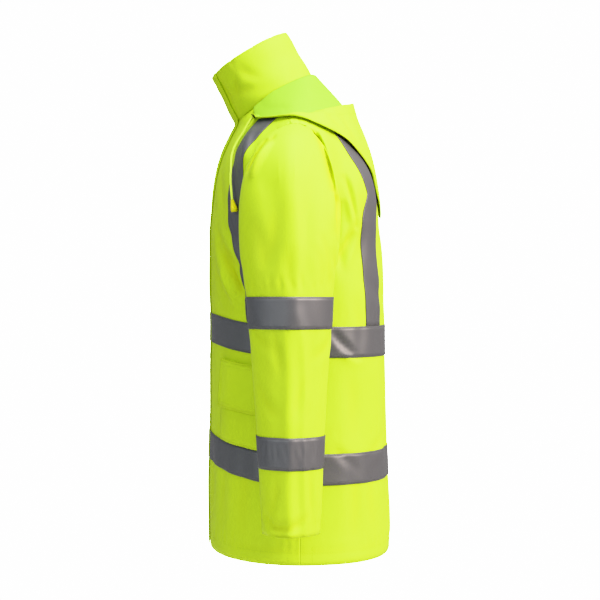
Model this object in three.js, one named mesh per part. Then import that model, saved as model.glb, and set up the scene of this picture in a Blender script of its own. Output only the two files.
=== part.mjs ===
import * as THREE from 'three';

// A worn, hollow hi-vis work jacket with a stand collar and a hood thrown back.
// Millimetres, +Z up, the front faces -Y and the wearer's left side is +X.
// Heights in the tables are measured up from the hem; the group is then lowered
// so that the origin lies between the shoulders, where the wearer holds it up.

// Driving dimensions
const SHOULDER_HEIGHT = 740;
const CLOTH = 1.8;
const SEAM_GAP = 0.3;
const TAPE_WIDTH = 50;
const TAPE_THICK = 1;
const COLLAR_THICK = 3;
const FLAP_HALF_WIDTH = 30;
const FLAP_THICK = 2;
const FLAP_LIFT = 0.6;
const FLAP_MARGIN_AT_NECK = 8;
const COLUMN_MARGIN_AT_NECK = 12;
const POCKET_THICK = 1.4;
const POCKET_FLAP_THICK = 1.8;
const POCKET_SIDE_MARGIN = 14;
const POCKET_TO_BRACE = 0.878;
const POCKET_REAR_SHARE = 0.7;
const HOOD_THICK = 1.6;
const STUD_RADIUS = 7.5;
const STUD_HEIGHT = 2;
const STUD_TAPER = 1;
const STUD_FIRST = 107;
const STUD_PITCH = 110;
const STUD_COUNT = 6;
const CORD_RADIUS = 2;
const CORD_SIDES = 8;
const CORD_STEPS = 32;
const EYELET_RADIUS = 5;
const EYELET_BORE = 1.5;
const EYELET_THICK = 1.2;
const EYELET_GAP = 1.2;
const ROUND_SIDES = 14;
const EYELET_FACING = { y: -0.75, z: -0.66 };

// Route of the left drawcord: x, y and height above the hem
const CORD_ROUTE = [
  [118.7, -79.3, 735.3], [118.7, -82.8, 731.2], [118.7, -87, 724.5], [118.7, -91, 717.5], [118.7, -95, 710.5],
  [119.5, -99.2, 703], [121, -104, 695.5], [124, -108.6, 687], [128.5, -112.2, 677.5], [134.5, -114.6, 667],
  [141.5, -115, 656], [147.5, -115, 645], [153.5, -115.2, 634.5], [158.8, -115, 622.5],
  [164, -114, 611], [167.6, -113, 601], [169.3, -112, 591.5],
];

// Cord end: radius and distance down its axis
const CORD_END_PROFILE = [[0, 0], [2.8, 0], [3.4, 4], [5.2, 12], [5.8, 17], [5, 20], [0, 20]];
const CORD_END_TILT = { x: 0.05, y: 0.2 };

// Neck seam and collar top: tilted ellipses, angle 0 at the front
const NECK = { halfWidth: 78, y: -44, depth: 69, height: 780, tilt: 42 };
const COLLAR_TOP = { halfWidth: 72, y: -87.5, depth: 67.5, height: 861, tilt: 39 };

// Front panel, a row per level from the hem to the shoulder seam.
// neck: angle on the neck seam, or null where the row starts at the centre front
// cy, ch: depth and height at the centre; sx, sy, sh: side seam or armhole point
// full: roundness of the section; brace: x of the brace tape's inner edge
const FRONT_ROWS = [
  { neck: null, cy: -159, ch: 0, sx: 232, sy: 0, sh: 0, full: 0.6, round: 1, brace: 139 },
  { neck: null, cy: -160, ch: 72, sx: 228, sy: 0, sh: 60, full: 0.6, round: 1, brace: 139 },
  { neck: null, cy: -158, ch: 151, sx: 223, sy: 0, sh: 127, full: 0.59, round: 1, brace: 139 },
  { neck: null, cy: -157.5, ch: 199, sx: 219, sy: 0, sh: 177, full: 0.59, round: 1, brace: 139 },
  { neck: null, cy: -157, ch: 256, sx: 215, sy: 0, sh: 234, full: 0.59, round: 1, brace: 139 },
  { neck: null, cy: -157, ch: 336, sx: 209.5, sy: 0, sh: 314, full: 0.58, round: 1, brace: 139 },
  { neck: null, cy: -157, ch: 355, sx: 208.5, sy: 0, sh: 332, full: 0.58, round: 1, brace: 139 },
  { neck: null, cy: -157, ch: 405, sx: 206.5, sy: 0, sh: 382, full: 0.58, round: 1, brace: 170 },
  { neck: null, cy: -158, ch: 465, sx: 205, sy: 0, sh: 440, full: 0.575, round: 1, brace: 165 },
  { neck: null, cy: -158, ch: 520, sx: 204, sy: 0, sh: 490, full: 0.575, round: 1, brace: 149 },
  { neck: null, cy: -158, ch: 550, sx: 203, sy: 0, sh: 520, full: 0.57, round: 1, brace: 142 },
  { neck: null, cy: -157, ch: 568, sx: 199, sy: -48, sh: 530, full: 0.56, round: 0.88, brace: 139 },
  { neck: null, cy: -156, ch: 588, sx: 191, sy: -80, sh: 558, full: 0.53, round: 0.72, brace: 139 },
  { neck: null, cy: -154.5, ch: 614, sx: 188, sy: -88, sh: 594, full: 0.5, round: 0.6, brace: 138 },
  { neck: null, cy: -150, ch: 644, sx: 189, sy: -84, sh: 628, full: 0.5, round: 0.56, brace: 136 },
  { neck: null, cy: -142, ch: 675, sx: 191, sy: -75, sh: 656, full: 0.5, round: 0.52, brace: 133 },
  { neck: null, cy: -129, ch: 708, sx: 194, sy: -62, sh: 678, full: 0.48, round: 0.48, brace: 129 },
  { neck: 0, cy: -113, ch: 738, sx: 197, sy: -48, sh: 692, full: 0.45, round: 0.44, brace: 125 },
  { neck: 22.5, cy: 0, ch: 0, sx: 199.5, sy: -36, sh: 701, full: 0.42, round: 0.32, brace: 122 },
  { neck: 45, cy: 0, ch: 0, sx: 201.5, sy: -27, sh: 707, full: 0.4, round: 0.2, brace: 119 },
  { neck: 67.5, cy: 0, ch: 0, sx: 202.5, sy: -20, sh: 711, full: 0.4, round: 0.1, brace: 117 },
  { neck: 90, cy: 0, ch: 0, sx: 203, sy: -14, sh: 714, full: 0.4, round: 0, brace: 116 },
];

// Back panel, with the same columns; its lower rows share the front's side heights
const BACK_ROWS = [
  { neck: null, cy: 157, ch: 0, sx: 232, sy: 0, sh: 0, full: 0.72, round: 1, brace: 128 },
  { neck: null, cy: 158, ch: 60, sx: 228, sy: 0, sh: 60, full: 0.72, round: 1, brace: 128 },
  { neck: null, cy: 154.5, ch: 127, sx: 223, sy: 0, sh: 127, full: 0.73, round: 1, brace: 128 },
  { neck: null, cy: 152.5, ch: 177, sx: 219, sy: 0, sh: 177, full: 0.74, round: 1, brace: 128 },
  { neck: null, cy: 151, ch: 234, sx: 215, sy: 0, sh: 234, full: 0.74, round: 1, brace: 128 },
  { neck: null, cy: 150, ch: 314, sx: 209.5, sy: 0, sh: 314, full: 0.75, round: 1, brace: 128 },
  { neck: null, cy: 149, ch: 332, sx: 208.5, sy: 0, sh: 332, full: 0.75, round: 1, brace: 128 },
  { neck: null, cy: 148, ch: 384, sx: 206.5, sy: 0, sh: 382, full: 0.76, round: 1, brace: 128 },
  { neck: null, cy: 147, ch: 440, sx: 205, sy: 0, sh: 440, full: 0.76, round: 1, brace: 128 },
  { neck: null, cy: 144, ch: 492, sx: 204, sy: 0, sh: 490, full: 0.76, round: 1, brace: 128 },
  { neck: null, cy: 142, ch: 525, sx: 203, sy: 0, sh: 520, full: 0.76, round: 1, brace: 128 },
  { neck: null, cy: 139, ch: 552, sx: 200, sy: 40, sh: 538, full: 0.74, round: 0.98, brace: 128 },
  { neck: null, cy: 136, ch: 578, sx: 197.5, sy: 57, sh: 568, full: 0.72, round: 0.95, brace: 127 },
  { neck: null, cy: 133, ch: 604, sx: 196.5, sy: 59, sh: 600, full: 0.7, round: 0.9, brace: 110 },
  { neck: null, cy: 128, ch: 640, sx: 197, sy: 53, sh: 630, full: 0.68, round: 0.85, brace: 114 },
  { neck: null, cy: 119.5, ch: 680, sx: 198, sy: 45, sh: 658, full: 0.64, round: 0.78, brace: 119 },
  { neck: null, cy: 103, ch: 724, sx: 200, sy: 35, sh: 684, full: 0.6, round: 0.7, brace: 121 },
  { neck: null, cy: 73, ch: 770, sx: 201.5, sy: 22, sh: 702, full: 0.56, round: 0.58, brace: 120 },
  { neck: 180, cy: 25, ch: 822, sx: 202.3, sy: 12, sh: 709, full: 0.5, round: 0.42, brace: 118 },
  { neck: 157.5, cy: 0, ch: 0, sx: 202.6, sy: 5, sh: 711.5, full: 0.45, round: 0.3, brace: 117 },
  { neck: 135, cy: 0, ch: 0, sx: 202.8, sy: -2, sh: 713, full: 0.4, round: 0.18, brace: 116 },
  { neck: 112.5, cy: 0, ch: 0, sx: 203, sy: -8, sh: 713.8, full: 0.4, round: 0.08, brace: 116 },
  { neck: 90, cy: 0, ch: 0, sx: 203, sy: -14, sh: 714, full: 0.4, round: 0, brace: 116 },
];

// Row numbers that the pieces on the panels start and end at
const ROW = { tapeLow: 2, tapeLowTop: 3, flapBottom: 4, flapTop: 5, tapeHigh: 6, tapeHighTop: 7, armpit: 10 };
const NECK_ROW = FRONT_ROWS.findIndex((row) => row.neck === 0);

// Column numbers at the edges of the pieces on the panels
const COLUMN = { flapEdge: 1, pocketIn: 4, braceIn: 5, braceOut: 7, pocketOut: 10, side: 11 };

// Sleeve, a row per ring from the armhole to the cuff: outer and inner seam points
// seen from the front, and the depths of its front and back edges
const SLEEVE_RINGS = [
  { ox: 232, oh: 707, ix: 204.5, ih: 515, front: -91, back: 62 },
  { ox: 262, oh: 692, ix: 206, ih: 511, front: -94, back: 64 },
  { ox: 290, oh: 669, ix: 207.5, ih: 508, front: -96, back: 65 },
  { ox: 315, oh: 635, ix: 209, ih: 505, front: -98, back: 66 },
  { ox: 331, oh: 590, ix: 211, ih: 502, front: -98, back: 66 },
  { ox: 337, oh: 545, ix: 213, ih: 499, front: -97, back: 65 },
  { ox: 339, oh: 496, ix: 216, ih: 496, front: -95, back: 63 },
  { ox: 339, oh: 464, ix: 220, ih: 464, front: -90, back: 57 },
  { ox: 338.5, oh: 431, ix: 223.5, ih: 431, front: -85, back: 54 },
  { ox: 338, oh: 381, ix: 226, ih: 381, front: -81, back: 51 },
  { ox: 337.5, oh: 330, ix: 230, ih: 330, front: -77, back: 47 },
  { ox: 337, oh: 272, ix: 235, ih: 272, front: -73, back: 43 },
  { ox: 336.5, oh: 216, ix: 238, ih: 216, front: -69, back: 40 },
  { ox: 336, oh: 166, ix: 241, ih: 166, front: -66, back: 38 },
  { ox: 335.5, oh: 118, ix: 243.5, ih: 118, front: -63, back: 35 },
  { ox: 335, oh: 64, ix: 246, ih: 64, front: -60, back: 32 },
];
const SLEEVE_TAPES = { upper: [8, 9], lower: [12, 13] };
const SLEEVE_PRESS = { height: 5, spread: 0.22 };
const SLEEVE_MIDDLE_Y = -15;
const SLEEVE_EASE_RINGS = 4;

// Largest folds: soft troughs (depth below zero) and ridges along a line seen from the side
const FOLDS = [
  { on: 'back', y0: 62, h0: 668, y1: 68, h1: 560, width: 16, depth: -6 },
  { on: 'back', y0: 74, h0: 622, y1: 92, h1: 470, width: 20, depth: -5 },
  { on: 'back', y0: 92, h0: 330, y1: 78, h1: 470, width: 24, depth: 4 },
  { on: 'back', y0: 97, h0: 628, y1: 100, h1: 588, width: 20, depth: 8 },
  { on: 'front', y0: -104, h0: 560, y1: -60, h1: 490, width: 22, depth: -6 },
  { on: 'front', y0: -112, h0: 505, y1: -56, h1: 440, width: 24, depth: 5 },
  { on: 'front', y0: -80, h0: 698, y1: -90, h1: 655, width: 17, depth: 8 },
  { on: 'sleeve', y0: -80, h0: 640, y1: -30, h1: 560, width: 22, depth: -5 },
  { on: 'sleeve', y0: 48, h0: 640, y1: 10, h1: 560, width: 24, depth: -6 },
  { on: 'sleeve', y0: -78, h0: 520, y1: -10, h1: 476, width: 22, depth: -4 },
  { on: 'sleeve', y0: 44, h0: 340, y1: -20, h1: 306, width: 20, depth: -4 },
  { on: 'sleeve', y0: -66, h0: 268, y1: -5, h1: 244, width: 18, depth: -3.5 },
];

// Hood, from its front corner round to the centre back: the neck seam angle,
// the lower fold of the pouch and the rim, where x is zero at the centre back
const HOOD_SECTIONS = [
  { neck: 62, fx: 116, fy: -76, fh: 734, rx: 108, ry: -74, rh: 744 },
  { neck: 72, fx: 156, fy: -52, fh: 728, rx: 142, ry: -50, rh: 742 },
  { neck: 84, fx: 180, fy: -20, fh: 722, rx: 164, ry: -20, rh: 738 },
  { neck: 96, fx: 184, fy: 14, fh: 714, rx: 162, ry: 8, rh: 740 },
  { neck: 109, fx: 174, fy: 44, fh: 700, rx: 142, ry: 34, rh: 747 },
  { neck: 123, fx: 150, fy: 70, fh: 690, rx: 114, ry: 60, rh: 755 },
  { neck: 137, fx: 128, fy: 100, fh: 664, rx: 88, ry: 78, rh: 762 },
  { neck: 151, fx: 94, fy: 122, fh: 636, rx: 60, ry: 89, rh: 767 },
  { neck: 165, fx: 50, fy: 138, fh: 600, rx: 30, ry: 94, rh: 770 },
  { neck: 180, fx: 0, fy: 143, fh: 577, rx: 0, ry: 96, rh: 771 },
];
const HOOD_CORE = new THREE.Vector3(0, -20, 600);
const HOOD_SEAM = { out: 5, up: 4 };
const HOOD_CLEAR = { inner: 8, fold: 9.5, outer: 14 };
const ASIDE_FROM_CENTRE = 0.002;
const HOOD_INNER_STEPS = [0, 0.2, 0.4, 0.6, 0.8, 0.95];
const HOOD_OUTER_STEPS = [0.06, 0.35, 0.68, 1];

const CLOTH_YELLOW = new THREE.MeshStandardMaterial({ color: 0xc8e83a, roughness: 0.7, metalness: 0 });
const HOOD_YELLOW = new THREE.MeshStandardMaterial({ color: 0xd2ee50, roughness: 0.7, metalness: 0 });
const TAPE_GREY = new THREE.MeshStandardMaterial({ color: 0x7c7b7f, roughness: 0.45, metalness: 0.2 });
const CORD_PALE = new THREE.MeshStandardMaterial({ color: 0xd7f06e, roughness: 0.8, metalness: 0 });
const CORD_END_YELLOW = new THREE.MeshStandardMaterial({ color: 0xe1d714, roughness: 0.5, metalness: 0 });
const STUD_DARK = new THREE.MeshStandardMaterial({ color: 0x3c3c38, roughness: 0.4, metalness: 0.6 });

const jacket = new THREE.Group();

function mix(a, b, t) {
  return a + (b - a) * t;
}

function onEllipse(ring, degrees) {
  const angle = THREE.MathUtils.degToRad(degrees);
  const x = ring.halfWidth * Math.sin(angle);
  return new THREE.Vector3(x, ring.y - ring.depth * Math.cos(angle), ring.height - ring.tilt * Math.cos(angle));
}

// One level of a panel: a smooth curve from the centre or neck to the side or armhole
function rowCurve(row) {
  const start = row.neck === null ? new THREE.Vector3(0, row.cy, row.ch) : onEllipse(NECK, row.neck);
  const end = new THREE.Vector3(row.sx, row.sy, row.sh);
  const chord = end.clone().sub(start);
  const alongX = new THREE.Vector3(chord.x * row.full, 0, 0);
  const alongY = new THREE.Vector3(0, chord.y * row.full, 0);
  const third = chord.clone().divideScalar(3);
  const first = start.clone().add(third.clone().lerp(alongX, row.round));
  const second = end.clone().sub(third.clone().lerp(alongY, row.round));
  return new THREE.CubicBezierCurve3(start, first, second, end);
}

// Share of the curve's length at which it reaches a given x
function shareAtX(curve, x) {
  let low = 0;
  let high = 1;
  for (let step = 0; step < 24; step += 1) {
    const middle = (low + high) / 2;
    if (curve.getPointAt(middle).x < x) {
      low = middle;
    } else {
      high = middle;
    }
  }
  return low;
}

function spread(from, to, count) {
  return Array.from({ length: count }, (_, index) => mix(from, to, (index + 1) / count));
}

// Where the columns of a level lie, as shares of its length
function columnShares(curve, row) {
  const length = curve.getLength();
  const startX = curve.v0.x;
  const braceIn = shareAtX(curve, row.brace);
  const braceOut = braceIn + TAPE_WIDTH / length;
  const pocketIn = shareAtX(curve, mix(startX, row.brace, POCKET_TO_BRACE));
  const pocketOut = Math.max(1 - POCKET_SIDE_MARGIN / length, mix(braceOut, 1, POCKET_REAR_SHARE));
  const underFlap = startX < FLAP_HALF_WIDTH;
  const flapX = underFlap ? Math.max(FLAP_HALF_WIDTH, startX + FLAP_MARGIN_AT_NECK) : startX + COLUMN_MARGIN_AT_NECK;
  const flapEdge = shareAtX(curve, flapX);
  return [
    0,
    flapEdge,
    ...spread(flapEdge, pocketIn, COLUMN.pocketIn - COLUMN.flapEdge),
    ...spread(pocketIn, braceIn, COLUMN.braceIn - COLUMN.pocketIn),
    ...spread(braceIn, braceOut, COLUMN.braceOut - COLUMN.braceIn),
    ...spread(braceOut, pocketOut, COLUMN.pocketOut - COLUMN.braceOut),
    1,
  ];
}

// How far the largest folds move a point of the given panel, seen from the side
function foldDepth(panel, point) {
  let total = 0;
  for (const fold of FOLDS.filter((each) => each.on === panel)) {
    const alongY = fold.y1 - fold.y0;
    const alongH = fold.h1 - fold.h0;
    const lengthSq = alongY * alongY + alongH * alongH;
    const t = ((point.y - fold.y0) * alongY + (point.z - fold.h0) * alongH) / lengthSq;
    const near = Math.min(1, Math.max(0, t));
    const gap = Math.hypot(point.y - fold.y0 - near * alongY, point.z - fold.h0 - near * alongH);
    total += fold.depth * Math.exp(-((gap / fold.width) ** 2));
  }
  return total;
}

// Normals of a grid of points from its neighbours; wrap closes the columns into a ring
function gridNormals(points, wrap) {
  const rows = points.length;
  const columns = points[0].length;
  return points.map((line, i) => line.map((_, j) => {
    const up = points[Math.min(rows - 1, i + 1)][j].clone().sub(points[Math.max(0, i - 1)][j]);
    const left = wrap ? line[(j + columns - 1) % columns] : line[Math.max(0, j - 1)];
    const right = wrap ? line[(j + 1) % columns] : line[Math.min(columns - 1, j + 1)];
    return right.clone().sub(left).cross(up).normalize();
  }));
}

function makePanel(rows, panel, facing) {
  const points = rows.map((row) => {
    const curve = rowCurve(row);
    return columnShares(curve, row).map((share) => curve.getPointAt(share));
  });
  let normals = gridNormals(points, false).map((line) => line.map((n) => n.multiplyScalar(facing)));
  const last = COLUMN.side;
  points.forEach((line, i) => line.forEach((point, j) => {
    const seam = j === last || i === points.length - 1 || (rows[i].neck !== null && j === 0);
    if (!seam) {
      point.addScaledVector(normals[i][j], foldDepth(panel, point));
    }
  }));
  normals = gridNormals(points, false).map((line) => line.map((n) => n.multiplyScalar(facing)));
  normals.forEach((line, i) => {
    if (rows[i].neck === null || rows[i].neck % 180 === 0) {
      line[0].setX(0).normalize();
    }
  });
  return { points, normals };
}

// Two panels share the normals of the seam between them, so that their edges lie face to face
function shareSeamNormals(one, other) {
  const last = COLUMN.side;
  const top = one.points.length - 1;
  const otherTop = other.points.length - 1;
  const join = (a, b) => {
    a.add(b).normalize();
    b.copy(a);
  };
  for (let i = 0; i < ROW.armpit; i += 1) {
    join(one.normals[i][last], other.normals[i][last]);
  }
  for (let j = 0; j <= last; j += 1) {
    join(one.normals[top][j], other.normals[otherTop][j]);
  }
  join(one.normals[ROW.armpit][last], other.normals[ROW.armpit][last]);
}

function mirrored(grid) {
  const flip = (v) => new THREE.Vector3(-v.x, v.y, v.z);
  return {
    points: grid.points.map((line) => line.map(flip).reverse()),
    normals: grid.normals.map((line) => line.map(flip).reverse()),
  };
}

function part(grid, rowFrom, rowTo, columnFrom, columnTo) {
  const cut = (lines) => lines.slice(rowFrom, rowTo + 1).map((line) => line.slice(columnFrom, columnTo + 1));
  return { points: cut(grid.points), normals: cut(grid.normals) };
}

function sideBySide(left, right) {
  const join = (a, b) => a.map((line, i) => [...line, ...b[i].slice(1)]);
  return { points: join(left.points, right.points), normals: join(left.normals, right.normals) };
}

// Edge points move in by half a seam gap, towards their inner neighbours.
// A split grid is joined up to split.row and open above it, as at the back of the neck.
function insetEdges(grid, wrap, inset) {
  const { points, split } = grid;
  const rows = points.length;
  const columns = points[0].length;
  return points.map((line, i) => line.map((point, j) => {
    const moved = point.clone();
    const pull = (towards) => {
      moved.addScaledVector(towards.clone().sub(point).normalize(), inset);
    };
    const open = split && i > split.row;
    if (i === 0) pull(points[1][j]);
    if (i === rows - 1) pull(points[rows - 2][j]);
    if (!wrap && (j === 0 || (open && j === split.column + 1))) pull(line[j + 1]);
    if (!wrap && (j === columns - 1 || (open && j === split.column))) pull(line[j - 1]);
    return moved;
  }));
}

// A closed wall of cloth between two offsets of a grid of points
function wallGeometry(grid, low, high, wrap = false) {
  const { split } = grid;
  const points = insetEdges(grid, wrap, SEAM_GAP / 2);
  const rows = points.length;
  const columns = points[0].length;
  const positions = [];
  for (const offset of [high, low]) {
    points.forEach((line, i) => line.forEach((point, j) => {
      const moved = point.clone().addScaledVector(grid.normals[i][j], offset);
      positions.push(moved.x, moved.y, moved.z);
    }));
  }
  const layer = rows * columns;
  const at = (i, j) => {
    const welded = split && j === split.column + 1 && i <= split.row;
    return i * columns + (welded ? split.column : j);
  };
  const faces = [];
  const quad = (a, b, c, d) => faces.push(a, b, c, a, c, d);
  const edges = new Map();
  const lastColumn = wrap ? columns : columns - 1;
  for (let i = 0; i < rows - 1; i += 1) {
    for (let j = 0; j < lastColumn; j += 1) {
      if (split && j === split.column) {
        continue;
      }
      const next = (j + 1) % columns;
      const rising = grid.points[i][j].distanceTo(grid.points[i + 1][next]);
      const falling = grid.points[i][next].distanceTo(grid.points[i + 1][j]);
      const corners = [at(i, j), at(i, next), at(i + 1, next), at(i + 1, j)];
      const turned = rising <= falling ? corners : [...corners.slice(1), corners[0]];
      quad(...turned);
      quad(layer + turned[0], layer + turned[3], layer + turned[2], layer + turned[1]);
      corners.forEach((from, k) => edges.set(`${from} ${corners[(k + 1) % 4]}`, [from, corners[(k + 1) % 4]]));
    }
  }
  for (const [from, to] of edges.values()) {
    if (!edges.has(`${to} ${from}`)) {
      quad(to, from, layer + from, layer + to);
    }
  }
  return closedGeometry(positions, faces);
}

// Faces are turned outwards when the enclosed volume comes out negative
function closedGeometry(positions, faces) {
  let volume = 0;
  const corner = (index) => new THREE.Vector3().fromArray(positions, faces[index] * 3);
  for (let f = 0; f < faces.length; f += 3) {
    volume += corner(f).dot(corner(f + 1).cross(corner(f + 2)));
  }
  const index = [];
  for (let f = 0; f < faces.length; f += 3) {
    const turned = volume < 0 ? [faces[f], faces[f + 2], faces[f + 1]] : [faces[f], faces[f + 1], faces[f + 2]];
    index.push(...turned);
  }
  const geometry = new THREE.BufferGeometry();
  geometry.setAttribute('position', new THREE.Float32BufferAttribute(positions, 3));
  geometry.setIndex(index);
  geometry.computeVertexNormals();
  return geometry;
}

function addMesh(name, geometry, material) {
  const mesh = new THREE.Mesh(geometry, material);
  mesh.name = name;
  jacket.add(mesh);
  return mesh;
}

function mirroredGeometry(geometry) {
  const positions = Array.from(geometry.attributes.position.array, (value, k) => (k % 3 === 0 ? -value : value));
  return closedGeometry(positions, Array.from(geometry.index.array));
}

// The same piece on the wearer's left side and, mirrored, on the right
function addBoth(name, geometry, material) {
  addMesh(`${name}_left`, geometry, material);
  addMesh(`${name}_right`, mirroredGeometry(geometry), material);
}

function addPair(name, grid, low, high, material, wrap = false) {
  addBoth(name, wallGeometry(grid, low, high, wrap), material);
}

// Body: two fronts and one back
const front = makePanel(FRONT_ROWS, 'front', 1);
const back = makePanel(BACK_ROWS, 'back', -1);
shareSeamNormals(front, back);
const rightBack = mirrored(back);
const wholeBack = {
  points: rightBack.points.map((line, i) => [...line, ...back.points[i]]),
  normals: rightBack.normals.map((line, i) => [...line, ...back.normals[i]]),
  split: { column: COLUMN.side, row: BACK_ROWS.findIndex((row) => row.neck === 180) },
};
const frontTop = FRONT_ROWS.length - 1;
const backTop = BACK_ROWS.length - 1;
addPair('front', front, -CLOTH, 0, CLOTH_YELLOW);
addMesh('back', wallGeometry(wholeBack, -CLOTH, 0), CLOTH_YELLOW);

// Collar: a stand in one piece, open at the centre front
const collarAngles = [
  ...FRONT_ROWS.slice(NECK_ROW).map((row) => row.neck),
  ...BACK_ROWS.filter((row) => row.neck !== null).map((row) => row.neck).reverse().slice(1),
];
const COLLAR_LEVELS = [0, 0.28, 0.55, 0.8, 1];
const COLLAR_BULGE = [0, 1.5, -1.5, 1, 0];
function collarGrid() {
  const points = COLLAR_LEVELS.map((level) => collarAngles.map((angle) => {
    const low = onEllipse(NECK, angle);
    const high = onEllipse(COLLAR_TOP, angle);
    const lift = high.clone().sub(low).normalize().multiplyScalar(SEAM_GAP);
    return low.clone().lerp(high, level).add(lift);
  }));
  const middle = onEllipse(NECK, 90).setX(0).lerp(onEllipse(COLLAR_TOP, 90).setX(0), 0.5);
  const normals = gridNormals(points, false);
  normals.forEach((line, i) => line.forEach((n, j) => {
    if (n.dot(points[i][j].clone().sub(middle)) < 0) {
      n.negate();
    }
    if (collarAngles[j] % 180 === 0) {
      n.setX(0).normalize();
    }
    points[i][j].addScaledVector(n, COLLAR_BULGE[i]);
  }));
  return { points, normals };
}
const halfCollar = collarGrid();
const flippedCollar = mirrored(halfCollar);
addMesh('collar', wallGeometry(sideBySide(halfCollar, flippedCollar), -COLLAR_THICK, 0), CLOTH_YELLOW);

// Storm flap: one strip over the centre front, from the hem to the collar's top
function flapHalf() {
  const body = part(front, 0, NECK_ROW, 0, COLUMN.flapEdge);
  const stand = part(halfCollar, 1, COLLAR_LEVELS.length - 1, 0, 1);
  return { points: [...body.points, ...stand.points], normals: [...body.normals, ...stand.normals] };
}
const flap = sideBySide(mirrored(flapHalf()), flapHalf());
const flapHigh = FLAP_LIFT + FLAP_THICK;
addMesh('storm_flap', wallGeometry(flap, FLAP_LIFT, flapHigh), CLOTH_YELLOW);

// Reflective tape round the body, at the waist and above the hem
const bands = { waist: [ROW.tapeHigh, ROW.tapeHighTop], hem: [ROW.tapeLow, ROW.tapeLowTop] };
for (const [name, [from, to]] of Object.entries(bands)) {
  const frontBand = part(front, from, to, COLUMN.flapEdge, COLUMN.side);
  addPair(`tape_${name}_front`, frontBand, SEAM_GAP, SEAM_GAP + TAPE_THICK, TAPE_GREY);
  const backBand = part(wholeBack, from, to, 0, 2 * COLUMN.side + 1);
  backBand.split = { column: COLUMN.side, row: to };
  addMesh(`tape_${name}_back`, wallGeometry(backBand, SEAM_GAP, SEAM_GAP + TAPE_THICK), TAPE_GREY);
  const flapBand = part(flap, from, to, 0, 2);
  addMesh(`tape_${name}_flap`, wallGeometry(flapBand, flapHigh + SEAM_GAP, flapHigh + SEAM_GAP + TAPE_THICK), TAPE_GREY);
}

// Brace tapes: over each shoulder, down to the waist tape in front and behind
const frontBrace = part(front, ROW.tapeHighTop, frontTop, COLUMN.braceIn, COLUMN.braceOut);
const backBrace = part(back, ROW.tapeHighTop, backTop, COLUMN.braceIn, COLUMN.braceOut);
addPair('brace_front', frontBrace, SEAM_GAP, SEAM_GAP + TAPE_THICK, TAPE_GREY);
addPair('brace_back', backBrace, SEAM_GAP, SEAM_GAP + TAPE_THICK, TAPE_GREY);

// Lower pockets: a patch and the flap that closes it
const patch = part(front, ROW.tapeLowTop, ROW.flapTop, COLUMN.pocketIn, COLUMN.pocketOut);
const patchTop = SEAM_GAP + POCKET_THICK;
addPair('pocket', patch, SEAM_GAP, patchTop, CLOTH_YELLOW);
const pocketFlap = part(front, ROW.flapBottom, ROW.flapTop, COLUMN.pocketIn, COLUMN.pocketOut);
addPair('pocket_flap', pocketFlap, patchTop + SEAM_GAP, patchTop + SEAM_GAP + POCKET_FLAP_THICK, CLOTH_YELLOW);

// Sleeves: the first ring follows the armhole, the others are oval rings down to the cuff
function armholeRing() {
  const last = COLUMN.side;
  const frontRows = Array.from({ length: frontTop - ROW.armpit + 1 }, (_, k) => frontTop - k);
  const backRows = Array.from({ length: backTop - ROW.armpit - 1 }, (_, k) => ROW.armpit + 1 + k);
  const pick = (panel, i) => {
    const edge = panel.points[i][last];
    const out = edge.clone().sub(panel.points[i][last - 1]).normalize();
    return { point: edge.clone().addScaledVector(out, SEAM_GAP), normal: panel.normals[i][last].clone() };
  };
  return [...frontRows.map((i) => pick(front, i)), ...backRows.map((i) => pick(back, i))];
}

// Angles round a sleeve ring for the armhole's points, by their share of its length
function ringAngles(ring) {
  const armpitIndex = frontTop - ROW.armpit;
  const lengths = [0];
  for (let k = 1; k <= ring.length; k += 1) {
    lengths.push(lengths[k - 1] + ring[k % ring.length].point.distanceTo(ring[k - 1].point));
  }
  const half = lengths[armpitIndex];
  const whole = lengths[ring.length];
  return ring.map((_, k) => (k <= armpitIndex
    ? Math.PI * lengths[k] / half
    : Math.PI * (1 + (lengths[k] - half) / (whole - half))));
}

function sleeveGrid() {
  const ring = armholeRing();
  const angles = ringAngles(ring);
  const lines = SLEEVE_RINGS.map((row) => angles.map((angle) => {
    const across = Math.cos(angle);
    const along = Math.sin(angle);
    const centreY = (row.front + row.back) / 2;
    const halfDepth = (row.back - row.front) / 2;
    const t = (1 - across) / 2;
    return new THREE.Vector3(mix(row.ox, row.ix, t), centreY - halfDepth * along, mix(row.oh, row.ih, t));
  }));
  const normals = gridNormals(lines, true);
  lines.forEach((line, i) => line.forEach((point, j) => {
    const centre = (SLEEVE_RINGS[i].ox + SLEEVE_RINGS[i].ix) / 2;
    const outward = new THREE.Vector3(point.x - centre, point.y - SLEEVE_MIDDLE_Y, 0);
    if (normals[i][j].dot(outward) < 0) {
      normals[i][j].negate();
    }
    const fromPress = Math.min(angles[j], 2 * Math.PI - angles[j]);
    const fade = Math.min(1, i / SLEEVE_EASE_RINGS);
    const press = SLEEVE_PRESS.height * fade * Math.exp(-((fromPress / SLEEVE_PRESS.spread) ** 2));
    const facingOut = Math.max(0, normals[i][j].x);
    point.addScaledVector(normals[i][j], press + foldDepth('sleeve', point) * facingOut * fade);
  }));
  const points = [ring.map((each) => each.point), ...lines];
  const finished = gridNormals(points, true);
  finished.forEach((line, i) => line.forEach((n, j) => {
    if (i > 0 && n.dot(normals[i - 1][j]) < 0) {
      n.negate();
    }
  }));
  finished[0] = ring.map((each) => each.normal);
  return { points, normals: finished };
}
const sleeve = sleeveGrid();
addPair('sleeve', sleeve, -CLOTH, 0, CLOTH_YELLOW, true);
for (const [name, [from, to]] of Object.entries(SLEEVE_TAPES)) {
  const band = { points: sleeve.points.slice(from + 1, to + 2), normals: sleeve.normals.slice(from + 1, to + 2) };
  addPair(`tape_sleeve_${name}`, band, SEAM_GAP, SEAM_GAP + TAPE_THICK, TAPE_GREY, true);
}

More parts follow.
